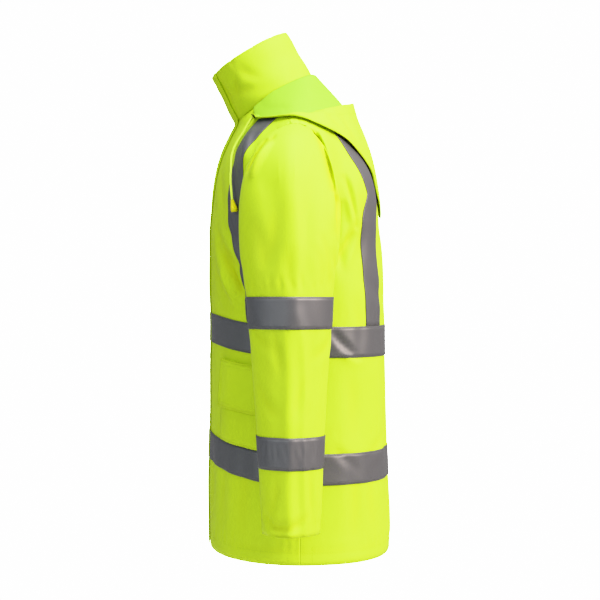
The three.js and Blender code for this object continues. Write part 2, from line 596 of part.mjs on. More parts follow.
// Distance from the hood's core to the outside of the body in a given direction;
// a ray along the centre line is turned aside a little, so that it can't miss between the halves
function bodyReach(direction) {
  const aside = Math.max(direction.x, ASIDE_FROM_CENTRE);
  const ray = new THREE.Ray(HOOD_CORE, direction.clone().setX(aside).normalize());
  const hit = new THREE.Vector3();
  let reach = 0;
  for (const panel of [front, back]) {
    for (let i = 0; i < panel.points.length - 1; i += 1) {
      for (let j = 0; j < COLUMN.side; j += 1) {
        const [a, b] = [panel.points[i][j], panel.points[i][j + 1]];
        const [c, d] = [panel.points[i + 1][j + 1], panel.points[i + 1][j]];
        for (const [p, q, r] of [[a, b, c], [a, c, d]]) {
          if (ray.intersectTriangle(p, q, r, false, hit)) {
            reach = Math.max(reach, hit.distanceTo(HOOD_CORE));
          }
        }
      }
    }
  }
  return reach;
}

// The point moved out from the core until it clears the body; rest also pulls it in to touch
function clearOfBody(point, clearance, rest) {
  const direction = point.clone().sub(HOOD_CORE);
  const distance = direction.length();
  direction.divideScalar(distance);
  const surface = bodyReach(direction);
  const wanted = surface > 0 ? surface + clearance : distance;
  const reach = rest ? wanted : Math.max(distance, wanted);
  return HOOD_CORE.clone().addScaledVector(direction, reach);
}

// Hood: an inner layer on the shoulders and back, folded at the bottom, and an outer layer
function hoodGrid() {
  const columns = HOOD_SECTIONS.map((section) => {
    const neck = onEllipse(NECK, section.neck);
    const outward = new THREE.Vector3(neck.x, neck.y - NECK.y, 0).normalize();
    neck.addScaledVector(outward, HOOD_SEAM.out).setZ(neck.z + HOOD_SEAM.up);
    const fold = new THREE.Vector3(section.fx, section.fy, section.fh);
    const rim = new THREE.Vector3(section.rx, section.ry, section.rh);
    return [
      ...HOOD_INNER_STEPS.map((t) => clearOfBody(neck.clone().lerp(fold, t), HOOD_CLEAR.inner, true)),
      clearOfBody(fold.clone(), HOOD_CLEAR.fold, true),
      ...HOOD_OUTER_STEPS.map((t) => clearOfBody(fold.clone().lerp(rim, t), HOOD_CLEAR.outer, false)),
    ];
  });
  const lines = columns[0].map((_, i) => columns.map((column) => column[i]));
  const half = { points: lines, normals: gridNormals(lines, false) };
  half.normals.forEach((line) => line[line.length - 1].setX(0).normalize());
  return sideBySide(half, mirrored(half));
}
const hood = hoodGrid();
addMesh('hood', wallGeometry(hood, -HOOD_THICK / 2, HOOD_THICK / 2), HOOD_YELLOW);

// A shape made along +Y, turned to a direction and moved to its place
function turnTo(geometry, direction, place) {
  const turn = new THREE.Quaternion().setFromUnitVectors(new THREE.Vector3(0, 1, 0), direction);
  return geometry.applyQuaternion(turn).translate(place.x, place.y, place.z);
}

function lathe(profile, sides) {
  return new THREE.LatheGeometry(profile.map(([radius, along]) => new THREE.Vector2(radius, along)), sides);
}

// Eyelets in the hood's front corners, where the drawcord leaves the fold
const FOLD_ROW = HOOD_INNER_STEPS.length;
const corner = hood.points[FOLD_ROW][0];
const cornerOut = new THREE.Vector3(0, EYELET_FACING.y, EYELET_FACING.z).normalize();
const eyeletPlace = corner.clone().addScaledVector(cornerOut, EYELET_GAP);
const eyeletProfile = [
  [EYELET_BORE, 0],
  [EYELET_RADIUS, 0],
  [EYELET_RADIUS, EYELET_THICK],
  [EYELET_BORE, EYELET_THICK],
  [EYELET_BORE, 0],
];
function mirrorPlace(vector) {
  return new THREE.Vector3(-vector.x, vector.y, vector.z);
}
for (const [side, place, direction] of [
  ['left', eyeletPlace, cornerOut],
  ['right', mirrorPlace(eyeletPlace), mirrorPlace(cornerOut)],
]) {
  addMesh(`eyelet_${side}`, turnTo(lathe(eyeletProfile, ROUND_SIDES), direction, place), STUD_DARK);
}

// Drawcords: each hangs from its eyelet down the chest to a bell-shaped cord end
const cordSection = new THREE.Shape(
  Array.from({ length: CORD_SIDES }, (_, k) => {
    const angle = 2 * Math.PI * k / CORD_SIDES;
    return new THREE.Vector2(CORD_RADIUS * Math.cos(angle), CORD_RADIUS * Math.sin(angle));
  }),
);
for (const [side, sign] of [['left', 1], ['right', -1]]) {
  const route = CORD_ROUTE.map(([x, y, h]) => new THREE.Vector3(sign * x, y, h));
  const path = new THREE.CatmullRomCurve3(route);
  const cord = new THREE.ExtrudeGeometry(cordSection, { extrudePath: path, steps: CORD_STEPS, bevelEnabled: false });
  addMesh(`drawcord_${side}`, cord, CORD_PALE);
  const last = route[route.length - 1];
  const down = new THREE.Vector3(sign * CORD_END_TILT.x, CORD_END_TILT.y, -1).normalize();
  const top = last.clone().addScaledVector(down, SEAM_GAP);
  addMesh(`cord_end_${side}`, turnTo(lathe(CORD_END_PROFILE, ROUND_SIDES), down, top), CORD_END_YELLOW);
}

// Press studs down the storm flap's free edge, on the wearer's right of the centre
function onFlap(height) {
  const row = flap.points.findIndex((line) => line[1].z > height);
  const [low, high] = [flap.points[row - 1], flap.points[row]];
  const share = (height - low[1].z) / (high[1].z - low[1].z);
  const lowMiddle = low[0].clone().lerp(low[1], 0.5);
  const highMiddle = high[0].clone().lerp(high[1], 0.5);
  const across = low[1].clone().sub(low[0]);
  const normal = across.cross(highMiddle.clone().sub(lowMiddle)).normalize();
  const outward = flap.normals[row][1].dot(normal) < 0 ? normal.negate() : normal;
  return { place: lowMiddle.lerp(highMiddle, share), normal: outward };
}
for (let k = 0; k < STUD_COUNT; k += 1) {
  const { place, normal } = onFlap(STUD_FIRST + k * STUD_PITCH);
  const stud = new THREE.CylinderGeometry(STUD_RADIUS - STUD_TAPER, STUD_RADIUS, STUD_HEIGHT, ROUND_SIDES);
  const seat = place.addScaledVector(normal, flapHigh + SEAM_GAP + STUD_HEIGHT / 2);
  addMesh(`press_stud_${k + 1}`, turnTo(stud, normal, seat), STUD_DARK);
}

jacket.position.z = -SHOULDER_HEIGHT;

export default jacket;
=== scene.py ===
import math

import bmesh
import bpy
import numpy as np
from mathutils import Matrix, Vector
from mathutils.bvhtree import BVHTree


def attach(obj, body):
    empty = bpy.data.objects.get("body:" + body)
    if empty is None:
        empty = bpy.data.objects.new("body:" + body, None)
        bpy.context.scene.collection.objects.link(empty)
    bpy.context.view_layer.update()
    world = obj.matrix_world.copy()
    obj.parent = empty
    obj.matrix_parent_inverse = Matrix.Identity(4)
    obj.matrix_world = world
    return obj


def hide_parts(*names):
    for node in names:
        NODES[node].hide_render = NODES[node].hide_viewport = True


# Sizes, in metres; heights in the fold tables are millimetres above the hem
HEM_Z = -0.740
CLOTH = 0.0018
COLLAR_THICK = 0.003
HOOD_THICK = 0.0016
FLAP_THICK = 0.002
TAPE_THICK = 0.001
POCKET_THICK = 0.0014
POCKET_FLAP_THICK = 0.0018
CORD_DIAMETER = 0.004
BODY_HALF_WIDTH = 0.205
BODY_HALF_DEPTH = 0.155
BODY_RADIUS_MM = 185.0
CORE = np.array([0.0, -0.02, -0.14])
SLEEVE_RADIUS_MM = 62.0
SLEEVE_AXIS = np.array([
    [0.2905, -0.014, 0.03], [0.2845, -0.015, 0.27], [0.2775, -0.016, 0.45],
    [0.2640, -0.016, 0.55], [0.2350, -0.015, 0.605], [0.1900, -0.014, 0.62], [0.12, -0.014, 0.62],
])
NECK_MIDDLE = np.array([0.0, -0.066, 0.08])

# How the skins are taken from the solids
SMOOTH_LEVELS = 3
CORNER_DEGREES = 36
SEAM_REACH = 0.0016

# Gaps between layers, and how far the pockets and their flaps stand off
LAYER_GAP = 0.0003
FLAP_GAP = 0.0006
POCKET_BULGE = 0.003
LID_OFF_BODY = 0.7 * POCKET_BULGE
LID_LIFT = 0.003
BRACE_SLIDE = 0.013

# Stitches, and how far their rows lie inside the edges
STITCH_LENGTH = 0.0028
STITCH_PITCH = 0.0042
STITCH_WIDTH = 0.0006
STITCH_REACH = 0.004
TAPE_INSET = 0.002
EDGE_INSET = 0.003
SEAM_INSET = 0.004
LID_SECOND_ROW = 0.009
FLAP_SECOND_ROW = 0.010
HOOD_INSET = 0.018
HEM_INSET = 0.020
CUFF_INSET = 0.022

# A fold's cross-section, in widths of its trough: how far it is worked out, where its raised
# shoulders stand and how wide they and the shade are; then the shoulders' height, in depths
FOLD_REACH = 3.6
PUSH_REACH = 3.0
SHOULDER_AT = 1.9
SHOULDER_WIDTH = 1.15
SHADE_WIDTH = 0.75
SHOULDER_RISE = 0.42
LEAN_RISE = 0.36
# Trough depth, in millimetres, at which the painted shade in a fold is full
CREASE_FULL_MM = 9.0
ARMHOLE_FADE = 0.014

# The hood: how far its edge hangs down and where (ranges of y and of height), and how it lies on the body
HOOD_RIM_DROP = 0.014
HOOD_RIM_WIDTH = 0.012
HOOD_TIP_DROP = 0.016
HOOD_CORNER_DROP = 0.008
HOOD_OFF_BODY = 0.0033
HOOD_REACH = 0.024
HOOD_PRESS = 0.42
HOOD_SIDE_Y = (0.0, 0.075)
HOOD_TIP_Y = (0.08, 0.14)
HOOD_TIP_HEIGHT = (0.69, 0.59)
HOOD_CORNER_Y = (-0.048, -0.078)
HOOD_CORNER_Z = (0.003, 0.020)
EYELET_KEPT = (0.005, 0.016)

# Drawcord route of the left side, in metres; the right one is its mirror
CORD_ROUTE = [
    (0.1187, -0.0793, -0.0047), (0.1187, -0.0828, -0.0088), (0.1187, -0.0870, -0.0155),
    (0.1187, -0.0910, -0.0225), (0.1187, -0.0950, -0.0295), (0.1195, -0.0992, -0.0370),
    (0.1210, -0.1040, -0.0445), (0.1240, -0.1086, -0.0530), (0.1285, -0.1122, -0.0625),
    (0.1345, -0.1146, -0.0730), (0.1415, -0.1150, -0.0840), (0.1475, -0.1150, -0.0950),
    (0.1535, -0.1152, -0.1055), (0.1588, -0.1150, -0.1175), (0.1640, -0.1140, -0.1290),
    (0.1676, -0.1130, -0.1390), (0.1693, -0.1120, -0.1485),
]

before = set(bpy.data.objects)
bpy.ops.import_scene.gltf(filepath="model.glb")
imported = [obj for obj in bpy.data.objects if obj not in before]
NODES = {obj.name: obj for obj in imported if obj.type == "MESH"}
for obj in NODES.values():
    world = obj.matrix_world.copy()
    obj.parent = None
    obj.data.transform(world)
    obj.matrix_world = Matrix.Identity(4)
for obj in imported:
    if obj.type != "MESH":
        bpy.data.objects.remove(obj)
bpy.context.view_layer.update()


# Camera, at the photograph's distance and height, looking along -X
CAMERA_DISTANCE = 2.3
CAMERA_HEIGHT = 0.426
LENS_MM = 77.52
SENSOR_MM = 36.0


def add_camera():
    data = bpy.data.cameras.new("view_camera")
    data.lens = LENS_MM
    data.sensor_width = SENSOR_MM
    camera = bpy.data.objects.new("view_camera", data)
    camera.location = (CAMERA_DISTANCE, 0.0, HEM_Z + CAMERA_HEIGHT)
    camera.rotation_euler = (math.radians(90), 0.0, math.radians(90))
    bpy.context.scene.collection.objects.link(camera)
    bpy.context.scene.camera = camera


# Directions that point away from the body and away from the sleeve's middle
def unit(vectors):
    return vectors / np.maximum(np.linalg.norm(vectors, axis=-1, keepdims=True), 1e-9)


def smooth_step(low, high, value):
    t = np.clip((value - low) / (high - low), 0.0, 1.0)
    return t * t * (3.0 - 2.0 * t)


def outward_from_body(points):
    height = points[:, 2] - HEM_Z
    level = np.stack([
        points[:, 0] / BODY_HALF_WIDTH ** 2,
        points[:, 1] / BODY_HALF_DEPTH ** 2,
        np.zeros(len(points)),
    ], axis=1)
    radial = unit(points - CORE)
    share = smooth_step(0.62, 0.75, height)[:, None]
    return unit(unit(level) * (1.0 - share) + radial * share)


def sleeve_places(points):
    """Millimetres round the sleeve from its outer line, height above the hem and outward direction."""
    side = np.sign(points[:, :1])
    local = np.concatenate([points[:, :1] * side, points[:, 1:2], points[:, 2:] - HEM_Z], axis=1)
    best = np.full(len(points), 1e9)
    nearest = np.zeros_like(local)
    for start, end in zip(SLEEVE_AXIS[:-1], SLEEVE_AXIS[1:]):
        along = end - start
        t = np.clip(((local - start) @ along) / (along @ along), 0.0, 1.0)[:, None]
        candidate = start + t * along
        gap = np.linalg.norm(local - candidate, axis=1)
        closer = gap < best
        best[closer] = gap[closer]
        nearest[closer] = candidate[closer]
    direction = unit(local - nearest)
    angle = np.arctan2(-direction[:, 1], direction[:, 0] + 0.6 * np.maximum(direction[:, 2], 0.0))
    direction[:, 0] *= side[:, 0]
    return angle * SLEEVE_RADIUS_MM, local[:, 2] * 1000.0, direction


def body_places(points):
    """Millimetres round the body from the centre front, height above the hem and outward direction."""
    angle = np.arctan2(np.abs(points[:, 0]) / BODY_HALF_WIDTH, -points[:, 1] / BODY_HALF_DEPTH)
    return angle * BODY_RADIUS_MM, (points[:, 2] - HEM_Z) * 1000.0, outward_from_body(points)


# Folds, placed one by one. Side +1 is the wearer's left, -1 the right and 0 both. A line has a start,
# middle and end, each as millimetres round (from the centre front on the body, from the outer
# line on a sleeve, + towards the front) and height. Width and depth are the trough's, in
# millimetres, a negative depth is a ridge, and lean puts the raised shoulder on one side of it.
BODY_FOLDS = [
    # side, start, middle, end, width, depth, lean
    # front, under the arm
    (1, (88, 522), (138, 468), (174, 436), 8, 5.5, 0.0),
    (1, (82, 545), (122, 508), (168, 476), 9, 3.6, 0.3),
    (1, (60, 498), (100, 455), (150, 412), 10, 1.6, -0.3),
    (1, (138, 585), (141, 562), (150, 540), 7, 2.0, 0.0),
    (1, (174, 702), (178, 678), (185, 650), 10, -5.0, 0.0),
    (-1, (174, 700), (178, 676), (186, 652), 10, -4.0, 0.0),
    (-1, (80, 540), (130, 480), (178, 445), 9, 3.8, 0.0),
    (-1, (62, 505), (112, 452), (160, 420), 8, 2.4, 0.2),
    (-1, (120, 600), (136, 565), (150, 545), 8, 2.2, 0.0),
    # chest and yoke
    (1, (60, 660), (92, 610), (118, 575), 13, 1.8, 0.0),
    (-1, (55, 650), (95, 618), (126, 570), 12, 2.0, 0.2),
    (1, (108, 700), (128, 668), (150, 640), 8, 1.6, 0.0),
    (-1, (104, 696), (130, 672), (146, 632), 8, 1.8, 0.0),
    # front below the waist tape
    (1, (118, 330), (124, 285), (120, 248), 12, 1.4, 0.0),
    (1, (175, 230), (184, 160), (180, 60), 16, 2.6, 0.0),
    (1, (120, 165), (128, 100), (118, 40), 15, 1.6, 0.2),
    (1, (60, 190), (72, 120), (70, 45), 15, 1.5, -0.2),
    (-1, (172, 240), (180, 150), (186, 55), 15, 2.4, 0.0),
    (-1, (112, 180), (124, 110), (122, 35), 14, 1.8, 0.0),
    (-1, (58, 200), (64, 110), (76, 50), 13, 1.3, 0.2),
    (1, (50, 420), (66, 398), (100, 392), 8, 1.5, 0.0),
    (-1, (46, 415), (70, 400), (108, 388), 9, 1.7, 0.0),
    # behind the arm
    (1, (381, 626), (392, 595), (402, 548), 5, 4.2, -0.6),
    (1, (364, 488), (380, 512), (398, 545), 8, 4.6, 0.2),
    (1, (360, 520), (370, 500), (372, 470), 8, 2.2, 0.0),
    (1, (406, 600), (418, 560), (412, 500), 12, 2.0, 0.0),
    (-1, (378, 630), (394, 592), (400, 555), 6, 3.6, -0.5),
    (-1, (360, 480), (384, 515), (404, 540), 9, 4.0, 0.0),
    (-1, (372, 560), (376, 520), (368, 480), 8, 2.4, 0.2),
    # bulges beside the braces and under the hood
    (0, (455, 655), (462, 610), (468, 560), 26, -4.5, 0.0),
    (0, (535, 640), (540, 590), (545, 545), 28, -3.0, 0.0),
    # the hem's sewn line
    (0, (0, 22), (290, 22), (581, 22), 3.6, 1.1, 0.0),
    # back, above and across the waist tape
    (1, (352, 374), (373, 352), (400, 333), 6, 4.6, -0.4),
    (1, (420, 470), (452, 440), (500, 430), 12, 1.6, 0.0),
    (1, (398, 420), (408, 380), (404, 345), 11, 1.8, 0.0),
    (-1, (356, 366), (380, 350), (410, 340), 7, 4.0, -0.4),
    (-1, (412, 475), (448, 446), (510, 438), 12, 1.8, 0.0),
    (-1, (400, 430), (410, 385), (402, 350), 12, 1.6, 0.0),
    (0, (540, 560), (560, 500), (556, 420), 15, 1.8, 0.0),
    # back below the waist tape
    (1, (386, 300), (392, 250), (388, 200), 14, 1.8, 0.0),
    (1, (386, 165), (391, 110), (386, 40), 13, 2.6, 0.3),
    (1, (428, 150), (424, 100), (432, 45), 12, 1.8, 0.0),
    (1, (352, 184), (368, 172), (394, 150), 7, 2.2, 0.0),
    (1, (418, 170), (442, 184), (470, 200), 8, 1.8, 0.0),
    (1, (482, 300), (492, 180), (486, 60), 18, 2.2, 0.0),
    (-1, (384, 310), (396, 240), (392, 190), 15, 2.0, 0.2),
    (-1, (390, 160), (386, 100), (392, 45), 14, 2.4, 0.0),
    (-1, (436, 170), (430, 110), (440, 40), 13, 2.0, 0.0),
    (-1, (356, 180), (376, 168), (404, 156), 8, 2.0, 0.0),
    (-1, (488, 310), (480, 200), (492, 70), 17, 2.0, 0.0),
    (0, (545, 260), (556, 160), (550, 50), 18, 1.8, 0.0),
    # side of the body, behind the sleeve
    (0, (300, 470), (318, 430), (330, 392), 10, 3.0, 0.0),
    (0, (236, 500), (262, 440), (270, 390), 11, 3.2, 0.2),
    (0, (282, 300), (290, 200), (284, 70), 18, 2.2, 0.0),
    (0, (222, 310), (232, 230), (228, 150), 15, 1.8, 0.0),
]
SLEEVE_FOLDS = [
    # side, start, middle, end, width, depth, lean
    # pucker at the front of the shoulder
    (1, (44, 690), (56, 668), (66, 640), 6, 1.8, 0.0),
    (-1, (16, 692), (22, 678), (30, 664), 5, 2.2, 0.0),
    # deep crease behind the shoulder
    (1, (-60, 600), (-70, 570), (-80, 515), 5, 4.5, 0.3),
    (-1, (-62, 596), (-76, 560), (-84, 520), 5, 3.2, 0.2),
    # the pressed line down the outside
    (1, (-6, 588), (-11, 520), (-10, 400), 8, -1.6, 0.0),
    (1, (-12, 405), (-25, 330), (-25, 230), 9, -2.2, 0.0),
    (1, (-25, 240), (-26, 160), (-34, 50), 9, -2.0, 0.0),
    (-1, (-5, 590), (-9, 500), (-14, 395), 9, -1.7, 0.0),
    (-1, (-14, 400), (-20, 300), (-27, 60), 9, -2.1, 0.0),
    # upper arm
    (1, (19, 560), (22, 520), (30, 486), 11, 1.7, 0.0),
    (1, (-2, 500), (1, 470), (-1, 442), 7, 1.3, 0.0),
    (1, (44, 540), (38, 500), (40, 466), 10, 1.5, 0.0),
    (1, (-44, 522), (-56, 490), (-66, 452), 6, 1.6, 0.2),
    (1, (-36, 505), (-47, 480), (-52, 448), 6, 1.1, 0.0),
    (1, (-66, 500), (-74, 482), (-84, 470), 6, 2.0, 0.0),
    (-1, (24, 570), (26, 520), (34, 480), 11, 1.8, 0.0),
    (-1, (-40, 530), (-54, 496), (-60, 455), 7, 1.7, 0.0),
    (-1, (46, 545), (44, 505), (50, 470), 9, 1.4, 0.0),
    # elbow, the inner side is hidden
    (1, (84, 420), (60, 372), (24, 348), 9, 1.5, 0.2),
    (1, (26, 372), (21, 345), (15, 315), 8, 1.3, 0.0),
    (1, (-22, 300), (-14, 275), (-4, 252), 8, 1.5, 0.0),
    (1, (70, 300), (48, 268), (24, 250), 10, 1.5, 0.0),
    (1, (-90, 380), (-68, 352), (-44, 338), 8, 1.8, 0.0),
    (-1, (88, 410), (62, 366), (30, 344), 9, 1.7, 0.0),
    (-1, (-18, 310), (-12, 280), (2, 250), 8, 1.4, 0.0),
    (-1, (66, 290), (44, 262), (18, 246), 9, 1.6, 0.0),
    (-1, (-88, 390), (-66, 356), (-40, 346), 8, 1.7, 0.0),
    (0, (150, 520), (130, 490), (100, 474), 10, 3.2, 0.0),
    (0, (-150, 500), (-128, 478), (-100, 470), 10, 3.0, 0.0),
    (0, (165, 400), (140, 372), (108, 360), 11, 2.6, 0.0),
    (0, (-160, 380), (-136, 350), (-104, 340), 11, 2.4, 0.0),
    # cuff
    (1, (60, 92), (22, 76), (-30, 92), 7, 3.8, 0.2),
    (0, (-190, 26), (0, 26), (190, 26), 3.6, 1.0, 0.0),
    (1, (30, 150), (34, 120), (52, 96), 9, 1.6, 0.0),
    (1, (-42, 160), (-44, 120), (-48, 84), 7, 1.5, 0.0),
    (-1, (56, 88), (18, 78), (-34, 96), 8, 2.6, 0.0),
    (-1, (26, 155), (32, 122), (48, 92), 9, 1.7, 0.0),
    (0, (170, 120), (140, 96), (100, 92), 9, 2.2, 0.0),
]
# Cloth pushed sideways where a fold stands over its own trough, as seen from the side: points
# (back from the middle, height), width and push (outwards, back), in millimetres, and the share
# of it that the right side has. Cloth nearer the middle than PUSHED_FROM_MM stays.
PUSHES = [
    # start, middle, end, width, push, share on the right
    # crease behind the shoulder: its trough, then the roll that stands over it
    ((25, 698), (42, 652), (52, 598), 5.5, (-15, 0), 0.7),
    ((36, 694), (54, 650), (63, 594), 8, (24, -4), 0.7),
    ((57, 596), (60, 570), (58, 530), 6, (-6, 0), 0.9),
    # pucker in front of the shoulder
    ((-54, 678), (-68, 655), (-82, 626), 3.2, (-9, 1), 0.8),
    ((-47, 673), (-61, 650), (-75, 622), 5.0, (10, -4), 0.8),
    ((-40, 686), (-45, 680), (-52, 676), 3.2, (-5, 0), 1.0),
    # folds under the arm
    ((-132, 510), (-112, 468), (-104, 436), 7, (-4, 5), 0.9),
    ((-136, 486), (-118, 448), (-108, 424), 8, (3, -5), 0.9),
]
PUSHED_FROM_MM = 110.0
# Soft folds and puckers of the collar and hood: the wearer's left side, as points (x, y, height)
# in millimetres, with width and depth; the right side has them too, as deep as its share says.
COLLAR_FOLDS = [
    # start, middle, end, width, depth, share on the right
    ((32, -126, 786), (58, -100, 789), (76, -50, 792), 9, 1.6, 0.8),
    ((20, -148, 812), (31, -130, 791), (31, -112, 750), 6, 1.8, 0.9),
    ((5, -146, 815), (6, -137, 790), (6, -120, 752), 7, 1.2, 1.0),
    ((66, -104, 830), (69, -86, 815), (72, -60, 806), 8, 1.3, 0.7),
    ((60, -118, 812), (54, -113, 798), (44, -110, 772), 7, 1.5, 1.0),
    ((40, -20, 838), (60, -10, 815), (72, -8, 800), 10, 1.2, 1.0),
]
HOOD_FOLDS = [
    # start, middle, end, width, depth, share on the right
    ((111, 68, 751), (140, 92, 703), (123, 115, 658), 13, 2.2, 0.8),
    ((153, 50, 738), (160, 66, 716), (150, 90, 695), 9, 1.8, 1.0),
    ((75, 100, 742), (95, 120, 690), (84, 131, 632), 12, 2.4, 0.7),
    ((25, 108, 744), (35, 138, 690), (25, 145, 620), 14, 2.2, 1.0),
    ((176, 33, 735), (190, 30, 728), (200, 22, 722), 7, 1.4, 1.0),
]
GATHERS = [
    # side, first and last place round, height, up (+1) or down (-1), pitch, length, depth
    ("sleeve", -110, 110, 441, 1, 13, 16, 0.7),
    ("sleeve", -110, 110, 386, -1, 19, 12, 0.6),
    ("sleeve", -110, 110, 186, 1, 17, 13, 0.7),
    ("sleeve", -150, 150, 42, 1, 15, 14, 0.7),
    ("body", 30, 575, 398, 1, 21, 15, 0.6),
    ("body", 30, 575, 24, 1, 17, 15, 0.6),
    ("body", 30, 575, 202, 1, 23, 13, 0.5),
]


def bend(start, middle, end, count=11):
    """Points of the curve that starts, has its middle and ends at the three given ones."""
    start, middle, end = (np.array(p, float) for p in (start, middle, end))
    t = np.linspace(0.0, 1.0, count)[:, None]
    control = 2.0 * middle - 0.5 * (start + end)
    return (1.0 - t) ** 2 * start + 2.0 * t * (1.0 - t) * control + t ** 2 * end


def to_line(places, line):
    """Distance to a line of points, the side of it (0 in three dimensions) and the share along it."""
    best = np.full(len(places), 1e9)
    side = np.zeros(len(places))
    along = np.zeros(len(places))
    for k, (a, b) in enumerate(zip(line[:-1], line[1:])):
        step = b - a
        t = np.clip((places - a) @ step / (step @ step), 0.0, 1.0)
        off = places - a - t[:, None] * step
        gap = np.linalg.norm(off, axis=1)
        closer = gap < best
        best[closer] = gap[closer]
        along[closer] = ((k + t) / (len(line) - 1))[closer]
        if places.shape[1] == 2:
            side[closer] = np.sign(step[0] * off[:, 1] - step[1] * off[:, 0])[closer]
    return best, side, along


def add_fold(total, crease, places, chosen, line, width, depth, lean):
    """Adds one fold to the outward move, and to the share of shade in its trough."""
    low, high = line.min(axis=0) - FOLD_REACH * width, line.max(axis=0) + FOLD_REACH * width
    near = np.flatnonzero(chosen & ((places > low) & (places < high)).all(axis=1))
    if len(near) == 0:
        return
    gap, side, along = to_line(places[near], line)
    fade = np.sin(np.pi * (0.07 + 0.86 * along)) ** 0.8
    trough = np.exp(-(gap / width) ** 2)
    shoulder = np.exp(-((gap - SHOULDER_AT * width) / (SHOULDER_WIDTH * width)) ** 2)
    shoulder *= SHOULDER_RISE + LEAN_RISE * lean * side
    total[near] += depth * fade * (shoulder - trough)
    if depth > 0:
        crease[near] += depth * fade * np.exp(-(gap / (SHADE_WIDTH * width)) ** 2)


def gather_rows(kind):
    """Short unequal puckers along a seam, as rows like those of the fold tables."""
    rows = []
    generator = np.random.default_rng(31 if kind == "body" else 47)
    for only, first, last, height, up, pitch, length, depth in GATHERS:
        if only != kind:
            continue
        for side in (1, -1):
            place = first
            while place < last:
                place += pitch * generator.uniform(0.6, 1.5)
                reach = up * length * generator.uniform(0.6, 1.4)
                slip = generator.uniform(-4.0, 4.0)
                rows.append((side, (place, height), (place + slip / 2, height + reach / 2),
                             (place + slip, height + reach), generator.uniform(2.6, 4.4),
                             depth * generator.uniform(0.5, 1.3), 0.0))
    return rows


def chart_field(table, points, s, h):
    """Outward move in millimetres, and trough shade, of cloth laid out as places round and heights."""
    total = np.zeros(len(points))
    crease = np.zeros(len(points))
    places = np.stack([s, h], axis=1)
    for only, start, middle, end, width, depth, lean in table:
        chosen = points[:, 0] * only > 0 if only else np.ones(len(points), bool)
        add_fold(total, crease, places, chosen, bend(start, middle, end), width, depth, lean)
    return total, crease


def solid_field(table, points):
    """The same for folds that are given as points in space."""
    total = np.zeros(len(points))
    crease = np.zeros(len(points))
    places = np.stack([np.abs(points[:, 0]), points[:, 1], points[:, 2] - HEM_Z], axis=1) * 1000.0
    for start, middle, end, width, depth, share in table:
        for side, amount in ((1, 1.0), (-1, share)):
            chosen = points[:, 0] * side > 0
            line = bend(start, middle, end)
            add_fold(total, crease, places, chosen, line, width, depth * amount, 0.0)
    return total, crease


def pushed(points):
    """Where the rows of PUSHES move each point to, and the shade in their troughs."""
    places = np.stack([points[:, 1], points[:, 2] - HEM_Z], axis=1) * 1000.0
    beside = smooth_step(PUSHED_FROM_MM, PUSHED_FROM_MM + 15.0, np.abs(points[:, 0]) * 1000.0)
    result = points.copy()
    crease = np.zeros(len(points))
    for start, middle, end, width, push, share in PUSHES:
        line = bend(start, middle, end)
        low, high = line.min(axis=0) - PUSH_REACH * width, line.max(axis=0) + PUSH_REACH * width
        near = np.flatnonzero((beside > 0) & ((places > low) & (places < high)).all(axis=1))
        gap, _, along = to_line(places[near], line)
        side = np.sign(points[near, 0])
        fade = np.sin(np.pi * (0.1 + 0.8 * along)) ** 0.7
        amount = np.exp(-(gap / width) ** 2) * fade * beside[near] * np.where(side > 0, 1.0, share)
        result[near, 0] += side * amount * push[0] * 0.001
        result[near, 1] += amount * push[1] * 0.001
        if push[0] < 0:
            crease[near] -= amount * push[0]
    return result, crease


def seam_puckers(points, anchors, direction, seed, length, width, depth, take=0.12):
    """Short puckers that start at a seam: anchors are points of its edge, direction leads away from it."""
    generator = np.random.default_rng(seed)
    total = np.zeros(len(points))
    for anchor in anchors:
        draw = generator.uniform(0.0, 1.0, 4)
        if draw[0] > take:
            continue
        way = np.array(direction) * np.array([np.sign(anchor[0]), 1.0, 1.0])
        way = unit(way + (draw[1:] - 0.5) * 0.5)
        rel = (points - anchor) * 1000.0
        along = rel @ way
        across = np.linalg.norm(rel - along[:, None] * way, axis=1)
        reach = length * (0.6 + 0.9 * draw[1])
        fade = np.where(along > 0, np.exp(-(along / reach) ** 2), np.exp(-(along / 3.0) ** 2))
        total -= depth * (0.5 + draw[2]) * fade * np.exp(-(across / width) ** 2)
    return total


def soft_waves(points, seed, lengths_mm, amount_mm):
    """Low, uneven undulation of the cloth, the same for every piece at the same place."""
    generator = np.random.default_rng(seed)
    total = np.zeros(len(points))
    for wave_length in lengths_mm:
        for _ in range(7):
            direction = unit(generator.normal(size=3) * np.array([1.0, 1.0, 0.45]))
            phase = generator.uniform(0.0, 2.0 * math.pi)
            total += np.sin(points @ direction * (2000.0 * math.pi / wave_length) + phase)
    return total * amount_mm / math.sqrt(7.0 * len(lengths_mm))


def moved(points, direction, depth, crease):
    """The points moved outwards and by the pushes, and the trough shade from 0 to 1."""
    places, more = pushed(points)
    places = places + direction * depth[:, None] * 0.001
    return places, np.clip((crease + more) / CREASE_FULL_MM, 0.0, 1.0)


def from_rim(points, rim):
    """Distance in metres from each point to the nearest of the rim's points."""
    nearest = np.full(len(points), 1.0)
    for part in np.array_split(rim, max(1, len(rim) // 40)):
        nearest = np.minimum(nearest, np.linalg.norm(points[:, None] - part[None], axis=2).min(axis=1))
    return nearest


def move_body(points, rim):
    s, h, direction = body_places(points)
    depth, crease = chart_field(BODY_FOLDS + gather_rows("body"), points, s, h)
    armhole = rim[(np.abs(rim[:, 0]) > 0.13) & (rim[:, 2] > HEM_Z + 0.5)]
    depth += seam_puckers(points, armhole, (-0.75, 0.0, 0.3), 5, 14.0, 3.2, 0.8)
    depth += soft_waves(points, 11, (150.0, 85.0), 0.8) * smooth_step(0, 40, h)
    return moved(points, direction, depth, crease)


